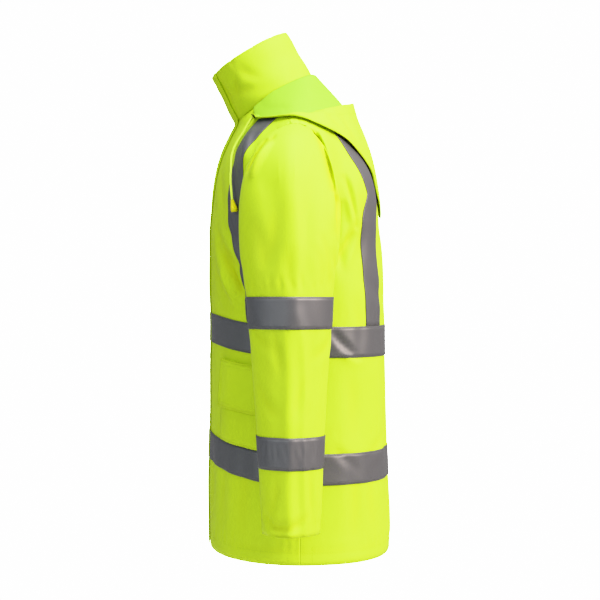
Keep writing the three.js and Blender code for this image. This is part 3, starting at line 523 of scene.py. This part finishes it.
def move_sleeve(points, rim):
    s, h, direction = sleeve_places(points)
    depth, crease = chart_field(SLEEVE_FOLDS + gather_rows("sleeve"), points, s, h)
    armhole = rim[rim[:, 2] > HEM_Z + 0.4]
    depth *= smooth_step(0.0, ARMHOLE_FADE, from_rim(points, armhole))
    depth += seam_puckers(points, armhole, (0.8, 0.0, -0.45), 8, 15.0, 3.4, 1.0)
    depth += soft_waves(points, 23, (110.0, 60.0), 0.6)
    return moved(points, direction, depth, crease)


def move_hood(points, rim):
    depth, crease = solid_field(HOOD_FOLDS, points)
    depth += soft_waves(points, 37, (95.0, 50.0), 0.5)
    places = points + outward_from_body(points) * depth[:, None] * 0.001
    crease = np.clip(crease / CREASE_FULL_MM, 0.0, 1.0)
    y, z = points[:, 1], points[:, 2]
    # its open edge, away from the neck, hangs a little lower over the shoulders
    open_edge = rim[np.hypot(rim[:, 0] / 0.115, (rim[:, 1] + 0.05) / 0.15) > 1.0]
    near_edge = np.exp(-(from_rim(points, open_edge) / HOOD_RIM_WIDTH) ** 2)
    places[:, 2] -= HOOD_RIM_DROP * (1.0 - smooth_step(*HOOD_SIDE_Y, y)) * near_edge
    # its tip hangs lower too
    places[:, 2] -= HOOD_TIP_DROP * smooth_step(*HOOD_TIP_Y, y) * smooth_step(*HOOD_TIP_HEIGHT, z - HEM_Z)
    # its front corners slope down to the neck seam
    places[:, 2] -= HOOD_CORNER_DROP * smooth_step(*HOOD_CORNER_Y, y) * smooth_step(*HOOD_CORNER_Z, z)
    # it rests on the shoulders and back
    body = tree_of(SKINS["front_panel_left"], SKINS["front_panel_right"], SKINS["back_panel"])
    for k, point in enumerate(places):
        place, normal, _, gap = body.find_nearest(Vector(point), HOOD_REACH)
        if place is None or gap < 1e-9:
            continue
        off = Vector(point) - place
        if off.dot(normal) < HOOD_OFF_BODY:
            places[k] = place + normal * HOOD_OFF_BODY
        else:
            share = (gap - HOOD_OFF_BODY) / (HOOD_REACH - HOOD_OFF_BODY)
            pressed = HOOD_OFF_BODY + (gap - HOOD_OFF_BODY) * (HOOD_PRESS + (1.0 - HOOD_PRESS) * share)
            places[k] = place + off * (pressed / gap)
    # the cloth round the cord's eyelets stays in place
    x, *rest = CORD_ROUTE[0]
    eyelets = np.array([[x, *rest], [-x, *rest]])
    moving = smooth_step(*EYELET_KEPT, from_rim(points, eyelets))[:, None]
    return points + (places - points) * moving, crease


def move_collar(points, rim):
    depth, crease = solid_field(COLLAR_FOLDS, points)
    top = rim[rim[:, 2] > HEM_Z + 0.808]
    depth += seam_puckers(points, top, (0.0, 0.45, -0.9), 13, 11.0, 2.8, 0.9, take=0.16)
    depth += soft_waves(points, 41, (70.0,), 0.4)
    return moved(points, outward_from_neck(points), depth, crease)


# Meshes from the solids
def dress(mesh, material):
    mesh.materials.clear()
    mesh.materials.append(material)


def new_piece(name, mesh, material, nodes):
    piece = bpy.data.objects.new(name, mesh)
    bpy.context.scene.collection.objects.link(piece)
    dress(mesh, material)
    mesh.shade_smooth()
    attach(piece, "root")
    if nodes:
        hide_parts(*nodes)
    return piece


def outer_skin(node, thickness, facing):
    """The outer side of a node's wall as quads: its thin rim and its inner side are taken away."""
    bm = bmesh.new()
    bm.from_mesh(NODES[node].data)
    bmesh.ops.remove_doubles(bm, verts=bm.verts, dist=1e-5)
    rim = [f for f in bm.faces if any(abs(e.calc_length() - thickness) < 1.5e-5 for e in f.edges)]
    bmesh.ops.delete(bm, geom=rim, context="FACES")
    groups = []
    seen = set()
    for first in bm.faces:
        if first in seen:
            continue
        seen.add(first)
        stack = [first]
        group = []
        while stack:
            face = stack.pop()
            group.append(face)
            for edge in face.edges:
                for other in edge.link_faces:
                    if other not in seen:
                        seen.add(other)
                        stack.append(other)
        groups.append(group)
    scores = []
    for group in groups:
        centres = np.array([f.calc_center_median() for f in group])
        normals = np.array([f.normal * f.calc_area() for f in group])
        scores.append(float((facing(centres) * normals).sum()))
    keep = groups[int(np.argmax(scores))]
    keep_set = set(keep)
    bmesh.ops.delete(bm, geom=[f for f in bm.faces if f not in keep_set], context="FACES")
    bmesh.ops.join_triangles(
        bm, faces=bm.faces, angle_face_threshold=math.radians(60), angle_shape_threshold=math.radians(120)
    )
    return bm


def pin_corners(bm):
    """Boundary corners stay where they are when the skin is smoothed."""
    layer = bm.verts.layers.float.new("crease_vert")
    for vert in bm.verts:
        open_edges = [e for e in vert.link_edges if e.is_boundary]
        if len(open_edges) != 2:
            continue
        one, other = (e.other_vert(vert).co - vert.co for e in open_edges)
        if math.degrees(one.angle(-other)) > CORNER_DEGREES:
            vert[layer] = 1.0


def smoothed(bm, levels):
    mesh = bpy.data.meshes.new("skin")
    bm.to_mesh(mesh)
    bm.free()
    holder = bpy.data.objects.new("skin_holder", mesh)
    bpy.context.scene.collection.objects.link(holder)
    modifier = holder.modifiers.new("Smooth", "SUBSURF")
    modifier.levels = levels
    modifier.render_levels = levels
    modifier.boundary_smooth = "PRESERVE_CORNERS"
    graph = bpy.context.evaluated_depsgraph_get()
    result = bpy.data.meshes.new_from_object(holder.evaluated_get(graph))
    bpy.data.objects.remove(holder)
    return result


def points_of(mesh):
    points = np.zeros(len(mesh.vertices) * 3)
    mesh.vertices.foreach_get("co", points)
    return points.reshape(-1, 3)


def set_points(mesh, points):
    mesh.vertices.foreach_set("co", points.ravel())
    mesh.update()


def rim_points(mesh):
    """The points along the open edges of a skin."""
    uses = {}
    for polygon in mesh.polygons:
        for key in polygon.edge_keys:
            uses[key] = uses.get(key, 0) + 1
    rim = sorted({i for key, count in uses.items() if count == 1 for i in key})
    return points_of(mesh)[rim]


def rim_lines(mesh):
    """The open edges of a skin as lines of points, with the cloth on their left."""
    bm = bmesh.new()
    bm.from_mesh(mesh)
    left = {e for e in bm.edges if e.is_boundary}
    lines = []
    while left:
        edge = min(left, key=lambda e: e.index)
        left.discard(edge)
        loop = edge.link_loops[0]
        chain = [loop.vert, edge.other_vert(loop.vert)]
        while chain[-1] is not chain[0]:
            onward = [e for e in chain[-1].link_edges if e in left]
            if not onward:
                break
            left.discard(onward[0])
            chain.append(onward[0].other_vert(chain[-1]))
        lines.append(np.array([v.co[:] for v in chain]))
    bm.free()
    return lines


def tree_of(*meshes):
    """A search tree over several skins together."""
    vertices = []
    polygons = []
    for mesh in meshes:
        start = len(vertices)
        vertices.extend(v.co.copy() for v in mesh.vertices)
        polygons.extend([start + i for i in p.vertices] for p in mesh.polygons)
    return BVHTree.FromPolygons(vertices, polygons)


def add_wall(piece, thickness):
    wall = piece.modifiers.new("Wall", "SOLIDIFY")
    wall.thickness = thickness
    wall.offset = -1.0
    wall.use_even_offset = False
    return wall


SKINS = {}


def join_rims(mesh, other):
    """Closes the seam between two skins: the rim of the first is laid on the rim of the second."""
    points = points_of(mesh)
    for line in rim_lines(other):
        low, high = line.min(axis=0) - SEAM_REACH, line.max(axis=0) + SEAM_REACH
        near = ((points > low) & (points < high)).all(axis=1)
        for k in np.flatnonzero(near):
            step = line[1:] - line[:-1]
            t = np.einsum("ij,ij->i", points[k] - line[:-1], step)
            t = np.clip(t / np.maximum(np.einsum("ij,ij->i", step, step), 1e-12), 0.0, 1.0)
            places = line[:-1] + t[:, None] * step
            gaps = np.linalg.norm(places - points[k], axis=1)
            if gaps.min() < SEAM_REACH:
                points[k] = places[gaps.argmin()]
    set_points(mesh, points)


def make_base(name, node, thickness, facing, move, material, lining=None, sewn_to=()):
    """A panel of cloth: smoothed from its solid, creased, and given its thickness."""
    bm = outer_skin(node, thickness, facing)
    pin_corners(bm)
    mesh = smoothed(bm, SMOOTH_LEVELS)
    points, crease = move(points_of(mesh), rim_points(mesh))
    set_points(mesh, points)
    # The crease attribute is the share of painted shade that the cloth's colour gets in the folds
    mesh.attributes.new("crease", "FLOAT", "POINT").data.foreach_set("value", crease)
    mesh.name = name
    SKINS[name] = mesh
    for other in sewn_to:
        join_rims(mesh, SKINS[other])
    piece = new_piece(name, mesh, material, [node])
    wall = add_wall(piece, thickness)
    if lining is not None:
        mesh.materials.append(lining)
        wall.material_offset = 1


def brace_slid(points):
    """The front brace leans further out below the chest, where the photograph hides it behind the sleeve."""
    h = points[:, 2] - HEM_Z
    out = BRACE_SLIDE * smooth_step(0.56, 0.47, h)
    return points + np.stack([np.sign(points[:, 0]) * out, np.zeros(len(h)), np.zeros(len(h))], axis=1)


def make_overlay(name, node, thickness, lift, tree, facing=None, material=None,
                 levels=3, bulge=None, slide=None):
    """Tape, pocket or flap: its own outline, laid on the skin below. Yellow cloth unless it is told."""
    bm = outer_skin(node, thickness, facing or outward_from_body)
    pin_corners(bm)
    mesh = smoothed(bm, levels)
    points = points_of(mesh)
    if slide is not None:
        points = slide(points)
    laid = np.empty_like(points)
    for k, point in enumerate(points):
        place, normal, _, _ = tree.find_nearest(Vector(point))
        laid[k] = place + normal * lift
    if bulge is not None:
        laid = bulge(laid)
    set_points(mesh, laid)
    mesh.name = name
    SKINS[name] = mesh
    add_wall(new_piece(name, mesh, material or YELLOW, [node]), thickness)


# Materials
def node_material(name):
    material = bpy.data.materials.new(name)
    material.use_nodes = True
    tree = material.node_tree
    tree.nodes.clear()
    output = tree.nodes.new("ShaderNodeOutputMaterial")
    shader = tree.nodes.new("ShaderNodeBsdfPrincipled")
    tree.links.new(shader.outputs["BSDF"], output.inputs["Surface"])
    return material, tree, shader


def colour_mix(tree, factor, first, second):
    """A node that mixes two colours; each may be a colour or another node's output."""
    mix = tree.nodes.new("ShaderNodeMix")
    mix.data_type = "RGBA"
    tree.links.new(factor, mix.inputs["Factor"])
    for socket, value in ((mix.inputs["A"], first), (mix.inputs["B"], second)):
        if isinstance(value, tuple):
            socket.default_value = value
        else:
            tree.links.new(value, socket)
    return mix.outputs["Result"]


def weave_group():
    """Shared by the yellow cloth and the lining: uneven dye, painted shade in the folds, and the weave."""
    group = bpy.data.node_groups.new("woven_cloth", "ShaderNodeTree")
    for socket in ("Light", "Dark", "Fold shade"):
        group.interface.new_socket(socket, in_out="INPUT", socket_type="NodeSocketColor")
    group.interface.new_socket("Color", in_out="OUTPUT", socket_type="NodeSocketColor")
    group.interface.new_socket("Height", in_out="OUTPUT", socket_type="NodeSocketFloat")
    given = group.nodes.new("NodeGroupInput")
    result = group.nodes.new("NodeGroupOutput")
    place = group.nodes.new("ShaderNodeTexCoord")
    patches = group.nodes.new("ShaderNodeTexNoise")
    patches.inputs["Scale"].default_value = 8.0
    patches.inputs["Detail"].default_value = 3.0
    group.links.new(place.outputs["Object"], patches.inputs["Vector"])
    dye = colour_mix(group, patches.outputs["Fac"], given.outputs["Dark"], given.outputs["Light"])
    # Painted shade: the crease attribute, deepest in the folds' troughs, turns the colour towards the darker
    # fold-shade colour
    folds = group.nodes.new("ShaderNodeAttribute")
    folds.attribute_name = "crease"
    deep = group.nodes.new("ShaderNodeMath")
    deep.operation = "MULTIPLY"
    deep.inputs[1].default_value = FOLD_SHADE
    group.links.new(folds.outputs["Fac"], deep.inputs[0])
    fold_shaded = colour_mix(group, deep.outputs["Value"], dye, given.outputs["Fold shade"])
    group.links.new(fold_shaded, result.inputs["Color"])
    heights = []
    for direction in ("X", "Y", "Z"):
        thread = group.nodes.new("ShaderNodeTexWave")
        thread.bands_direction = direction
        thread.inputs["Scale"].default_value = WEAVE_SCALE
        thread.inputs["Distortion"].default_value = 0.6
        group.links.new(place.outputs["Object"], thread.inputs["Vector"])
        heights.append(thread.outputs["Fac"])
    for height in heights[1:]:
        both = group.nodes.new("ShaderNodeMath")
        both.operation = "ADD"
        group.links.new(heights[0], both.inputs[0])
        group.links.new(height, both.inputs[1])
        heights[0] = both.outputs["Value"]
    group.links.new(heights[0], result.inputs["Height"])
    return group


def cloth_material(name, light, dark, fold_shade_colour, roughness, sheen):
    material, tree, shader = node_material(name)
    woven = tree.nodes.new("ShaderNodeGroup")
    woven.node_tree = WOVEN
    woven.inputs["Light"].default_value = light
    woven.inputs["Dark"].default_value = dark
    woven.inputs["Fold shade"].default_value = fold_shade_colour
    tree.links.new(woven.outputs["Color"], shader.inputs["Base Color"])
    bump = tree.nodes.new("ShaderNodeBump")
    bump.inputs["Strength"].default_value = 0.35
    bump.inputs["Distance"].default_value = 0.00008
    tree.links.new(woven.outputs["Height"], bump.inputs["Height"])
    tree.links.new(bump.outputs["Normal"], shader.inputs["Normal"])
    shader.inputs["Roughness"].default_value = roughness
    shader.inputs["Specular IOR Level"].default_value = 0.22
    shader.inputs["Sheen Weight"].default_value = sheen
    shader.inputs["Sheen Tint"].default_value = light
    return material


def grained_material(name, colour, roughness, metallic, grain_scale, grain_depth, strength=0.2):
    material, tree, shader = node_material(name)
    place = tree.nodes.new("ShaderNodeTexCoord")
    grain = tree.nodes.new("ShaderNodeTexNoise")
    grain.inputs["Scale"].default_value = grain_scale
    tree.links.new(place.outputs["Object"], grain.inputs["Vector"])
    bump = tree.nodes.new("ShaderNodeBump")
    bump.inputs["Strength"].default_value = strength
    bump.inputs["Distance"].default_value = grain_depth
    tree.links.new(grain.outputs["Fac"], bump.inputs["Height"])
    tree.links.new(bump.outputs["Normal"], shader.inputs["Normal"])
    shader.inputs["Base Color"].default_value = colour
    shader.inputs["Roughness"].default_value = roughness
    shader.inputs["Metallic"].default_value = metallic
    return material


# How strongly the folds' troughs are painted with shade: the share of the crease attribute given to the
# fold-shade colour
FOLD_SHADE = 0.5
WEAVE_SCALE = 330.0
WOVEN = weave_group()
# The third colour of each cloth is its painted fold shade, darker and more orange than the cloth
YELLOW = cloth_material("fluorescent_cloth", (0.445, 0.61, 0.040, 1.0), (0.41, 0.57, 0.033, 1.0),
                        (0.43, 0.46, 0.006, 1.0), 0.6, 0.05)
LINING = cloth_material("hood_lining", (0.30, 0.49, 0.045, 1.0), (0.27, 0.45, 0.040, 1.0),
                        (0.30, 0.42, 0.020, 1.0), 0.7, 0.05)
TAPE = grained_material("reflective_tape", (0.112, 0.116, 0.128, 1.0), 0.50, 0.3, 900.0, 0.00006)
THREAD = grained_material("yellow_thread", (0.36, 0.52, 0.012, 1.0), 0.7, 0.0, 2500.0, 0.00005)
TAPE_THREAD = grained_material("grey_thread", (0.10, 0.10, 0.10, 1.0), 0.7, 0.0, 2500.0, 0.00005)
CORD = grained_material("pale_cord", (0.62, 0.80, 0.10, 1.0), 0.8, 0.0, 1300.0, 0.0003, 0.5)
CORD_END = grained_material("cord_end_plastic", (0.62, 0.58, 0.01, 1.0), 0.4, 0.0, 300.0, 0.0001)
DARK_METAL = grained_material("dark_stud_metal", (0.04, 0.04, 0.036, 1.0), 0.4, 0.7, 600.0, 0.00005)


# The cloth pieces
def outward_from_sleeve(points):
    return sleeve_places(points)[2]


def outward_from_neck(points):
    return unit(points - NECK_MIDDLE)


def down_at_hood_tip(points):
    """Tells the hood's outer side from its lining: only the outer side faces down at the fold."""
    lowest = (points[:, 2] < points[:, 2].min() + 0.03)[:, None]
    return np.where(lowest, np.array([[0.0, 0.0, -1.0]]), 0.0)


def make_body():
    make_base("back_panel", "back", CLOTH, outward_from_body, move_body, YELLOW)
    for side in ("left", "right"):
        make_base(f"front_panel_{side}", f"front_{side}", CLOTH, outward_from_body, move_body, YELLOW,
                  sewn_to=["back_panel"])
        make_base(f"sleeve_tube_{side}", f"sleeve_{side}", CLOTH, outward_from_sleeve, move_sleeve, YELLOW)
    make_base("stand_collar", "collar", COLLAR_THICK, outward_from_neck, move_collar, YELLOW)
    make_base("thrown_hood", "hood", HOOD_THICK, down_at_hood_tip, move_hood, YELLOW, LINING)


def bellows(points):
    """A patch pocket stands off a little in its middle."""
    middle = (points.max(axis=0) + points.min(axis=0)) / 2
    half = (points.max(axis=0) - points.min(axis=0)) / 2
    from_middle = np.clip(np.abs(points - middle) / half, 0.0, 1.0)
    share = (1.0 - from_middle[:, 0] ** 3) * (1.0 - from_middle[:, 2] ** 3)
    return points + outward_from_body(points) * share[:, None] * POCKET_BULGE


def lifted_lid(points):
    """A pocket flap stands off at its lower edge and lies flat at its sewn upper one."""
    low, high = points[:, 2].min(), points[:, 2].max()
    share = ((high - points[:, 2]) / (high - low)) ** 1.5
    return points + outward_from_body(points) * (share[:, None] * LID_LIFT + LID_OFF_BODY)


def lay_tape(name, node, tree, facing=None, levels=3, slide=None):
    make_overlay(name, node, TAPE_THICK, LAYER_GAP + TAPE_THICK, tree, facing, TAPE,
                 levels=levels, slide=slide)


def make_overlays():
    body = tree_of(*(SKINS[name] for name in (
        "front_panel_left", "front_panel_right", "back_panel", "stand_collar")))
    make_overlay("storm_flap_strip", "storm_flap", FLAP_THICK, FLAP_GAP + FLAP_THICK, body)
    flap = tree_of(SKINS["storm_flap_strip"])
    for band in ("waist", "hem"):
        lay_tape(f"{band}_tape_flap", f"tape_{band}_flap", flap, levels=2)
        lay_tape(f"{band}_tape_back", f"tape_{band}_back", body)
    for side in ("left", "right"):
        for band in ("waist", "hem"):
            lay_tape(f"{band}_tape_{side}", f"tape_{band}_front_{side}", body)
        for face, slide in (("front", brace_slid), ("back", None)):
            lay_tape(f"brace_{face}_tape_{side}", f"brace_{face}_{side}", body, slide=slide)
        patch_lift = LAYER_GAP + POCKET_THICK
        make_overlay(f"pocket_patch_{side}", f"pocket_{side}", POCKET_THICK, patch_lift, body, bulge=bellows)
        make_overlay(f"pocket_lid_{side}", f"pocket_flap_{side}", POCKET_FLAP_THICK,
                     patch_lift + LAYER_GAP + POCKET_FLAP_THICK, body, bulge=lifted_lid)
        arm = tree_of(SKINS[f"sleeve_tube_{side}"])
        for band in ("upper", "lower"):
            lay_tape(f"sleeve_tape_{band}_{side}", f"tape_sleeve_{band}_{side}", arm, outward_from_sleeve)


def make_cord(side, sign):
    route = [Vector((sign * x, y, z)) for x, y, z in CORD_ROUTE]
    curve = bpy.data.curves.new(f"drawcord_line_{side}", "CURVE")
    curve.dimensions = "3D"
    curve.bevel_depth = CORD_DIAMETER / 2
    curve.bevel_resolution = 3
    curve.use_fill_caps = True
    spline = curve.splines.new("POLY")
    spline.points.add(len(route) - 1)
    for point, place in zip(spline.points, route):
        point.co = (*place, 1.0)
    curve.materials.append(CORD)
    cord = bpy.data.objects.new(f"drawcord_line_{side}", curve)
    bpy.context.scene.collection.objects.link(cord)
    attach(cord, "root")
    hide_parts(f"drawcord_{side}")


def make_trim():
    """The cord ends, eyelets and press studs are the nodes themselves."""
    for name, node in NODES.items():
        if name.startswith("cord_end"):
            dress(node.data, CORD_END)
        elif name.startswith(("eyelet", "press_stud")):
            dress(node.data, DARK_METAL)


# Sewing: rows of small raised stitches along the edges of the pieces
def stitch_places(mesh, inset, keep):
    """Where the stitches of one row lie: a matrix for each, on the skin, inset from its open edge."""
    tree = tree_of(mesh)
    places = []
    for line in rim_lines(mesh):
        steps = np.linalg.norm(np.diff(line, axis=0), axis=1)
        reach = np.concatenate([[0.0], np.cumsum(steps)])
        for at in np.arange(STITCH_PITCH / 2, reach[-1], STITCH_PITCH):
            k = min(int(np.searchsorted(reach, at, side="right")) - 1, len(steps) - 1)
            edge_place = line[k] + (line[k + 1] - line[k]) * ((at - reach[k]) / max(steps[k], 1e-9))
            if not keep(edge_place):
                continue
            way = Vector(line[min(k + 2, len(line) - 1)] - line[max(k - 1, 0)]).normalized()
            _, normal, _, _ = tree.find_nearest(Vector(edge_place))
            inner = Vector(edge_place) + normal.cross(way) * inset
            place, normal, _, _ = tree.find_nearest(inner)
            if place is None or (place - inner).length > STITCH_REACH:
                continue
            across = normal.cross(way).normalized()
            turn = Matrix((way, across, across.cross(way) * -1.0)).transposed().to_4x4()
            size = Matrix.Diagonal((STITCH_LENGTH / 2, STITCH_WIDTH / 2, STITCH_WIDTH / 3, 1.0))
            places.append(Matrix.Translation(place + normal * STITCH_WIDTH / 8) @ turn @ size)
    return places


def everywhere(point):
    return True


def at_hem(point):
    return point[2] < HEM_Z + 0.03


def at_cuff(point):
    return point[2] < HEM_Z + 0.1


def at_shoulder(point):
    """The armhole, shoulder and neck edges of a front."""
    return abs(point[0]) > 0.06 and point[2] > HEM_Z + 0.5


def sew(name, *rows, material=None, slot="yellow_cloth"):
    """One piece for the stitches of several rows: (skin, inset, which part of its edge)."""
    bm = bmesh.new()
    for skin, inset, keep in rows:
        for place in stitch_places(SKINS[skin], inset, keep):
            bmesh.ops.create_icosphere(bm, subdivisions=1, radius=1.0, matrix=place)
    mesh = bpy.data.meshes.new(name)
    bm.to_mesh(mesh)
    bm.free()
    new_piece(name, mesh, material or THREAD, [])


def sew_tape(name, *skins):
    rows = [(skin, TAPE_INSET, everywhere) for skin in skins]
    sew(name, *rows, material=TAPE_THREAD, slot="reflective_tape")


def make_sewing():
    for side in ("left", "right"):
        for band in ("waist", "hem"):
            sew_tape(f"{band}_tape_stitches_{side}", f"{band}_tape_{side}")
        for face in ("front", "back"):
            sew_tape(f"brace_{face}_stitches_{side}", f"brace_{face}_tape_{side}")
        sew_tape(f"sleeve_tape_stitches_{side}",
                 *(f"sleeve_tape_{band}_{side}" for band in ("upper", "lower")))
        front = f"front_panel_{side}"
        sew(f"front_stitches_{side}", (front, HEM_INSET, at_hem), (front, SEAM_INSET, at_shoulder))
        sew(f"sleeve_stitches_{side}", (f"sleeve_tube_{side}", CUFF_INSET, at_cuff))
        lid = f"pocket_lid_{side}"
        sew(f"pocket_stitches_{side}", (f"pocket_patch_{side}", EDGE_INSET, everywhere),
            (lid, EDGE_INSET, everywhere), (lid, LID_SECOND_ROW, everywhere))
    sew_tape("back_tape_stitches", "waist_tape_back", "hem_tape_back")
    sew("back_stitches", ("back_panel", HEM_INSET, at_hem))
    flap = "storm_flap_strip"
    sew("storm_flap_stitches", (flap, EDGE_INSET, everywhere), (flap, FLAP_SECOND_ROW, everywhere))
    sew("collar_stitches", ("stand_collar", SEAM_INSET, everywhere))
    sew("hood_stitches", ("thrown_hood", HOOD_INSET, everywhere))


# Studio: a pale floor well below the held-up jacket, a white world and three soft lights
def add_light(name, place, target, size, power, colour):
    data = bpy.data.lights.new(name, "AREA")
    data.size = size
    data.energy = power
    data.color = colour
    light = bpy.data.objects.new(name, data)
    light.location = place
    aim = Vector(target) - Vector(place)
    light.rotation_euler = aim.to_track_quat("-Z", "Y").to_euler()
    bpy.context.scene.collection.objects.link(light)


WORLD_SEEN = 9.0
WORLD_LIGHT = 0.45


def add_world():
    """A white background that lights the jacket less than it shows."""
    world = bpy.data.worlds.new("studio")
    world.use_nodes = True
    tree = world.node_tree
    back = tree.nodes["Background"]
    back.inputs["Color"].default_value = (1.0, 1.0, 1.0, 1.0)
    path = tree.nodes.new("ShaderNodeLightPath")
    strength = tree.nodes.new("ShaderNodeMapRange")
    strength.inputs["To Min"].default_value = WORLD_LIGHT
    strength.inputs["To Max"].default_value = WORLD_SEEN
    tree.links.new(path.outputs["Is Camera Ray"], strength.inputs["Value"])
    tree.links.new(strength.outputs["Result"], back.inputs["Strength"])
    bpy.context.scene.world = world


def add_studio():
    bpy.context.scene.view_settings.view_transform = "Khronos PBR Neutral"
    add_world()
    bm = bmesh.new()
    bmesh.ops.create_circle(bm, cap_ends=True, segments=96, radius=1.6)
    bmesh.ops.translate(bm, verts=bm.verts, vec=(0.0, 0.0, HEM_Z - 0.5))
    mesh = bpy.data.meshes.new("studio_floor")
    bm.to_mesh(mesh)
    bm.free()
    mesh.materials.append(grained_material("pale_floor", (0.8, 0.8, 0.8, 1.0), 0.9, 0.0, 40.0, 0.0002))
    floor = bpy.data.objects.new("studio_floor", mesh)
    bpy.context.scene.collection.objects.link(floor)
    # name, place, aim, size, power, colour
    add_light("key_light", (1.5, 2.1, 0.9), (0.1, 0.0, -0.25), 1.3, 134.0, (1.0, 0.85, 0.74))
    add_light("top_light", (0.5, 0.3, 1.9), (0.1, 0.0, -0.1), 1.5, 75.0, (1.0, 0.98, 0.94))
    add_light("fill_light", (1.9, -1.6, 0.2), (0.0, 0.0, -0.35), 1.6, 25.0, (0.95, 1.0, 0.98))


add_camera()
make_cord("left", 1)
make_cord("right", -1)
make_body()
make_overlays()
make_trim()
make_sewing()
add_studio()
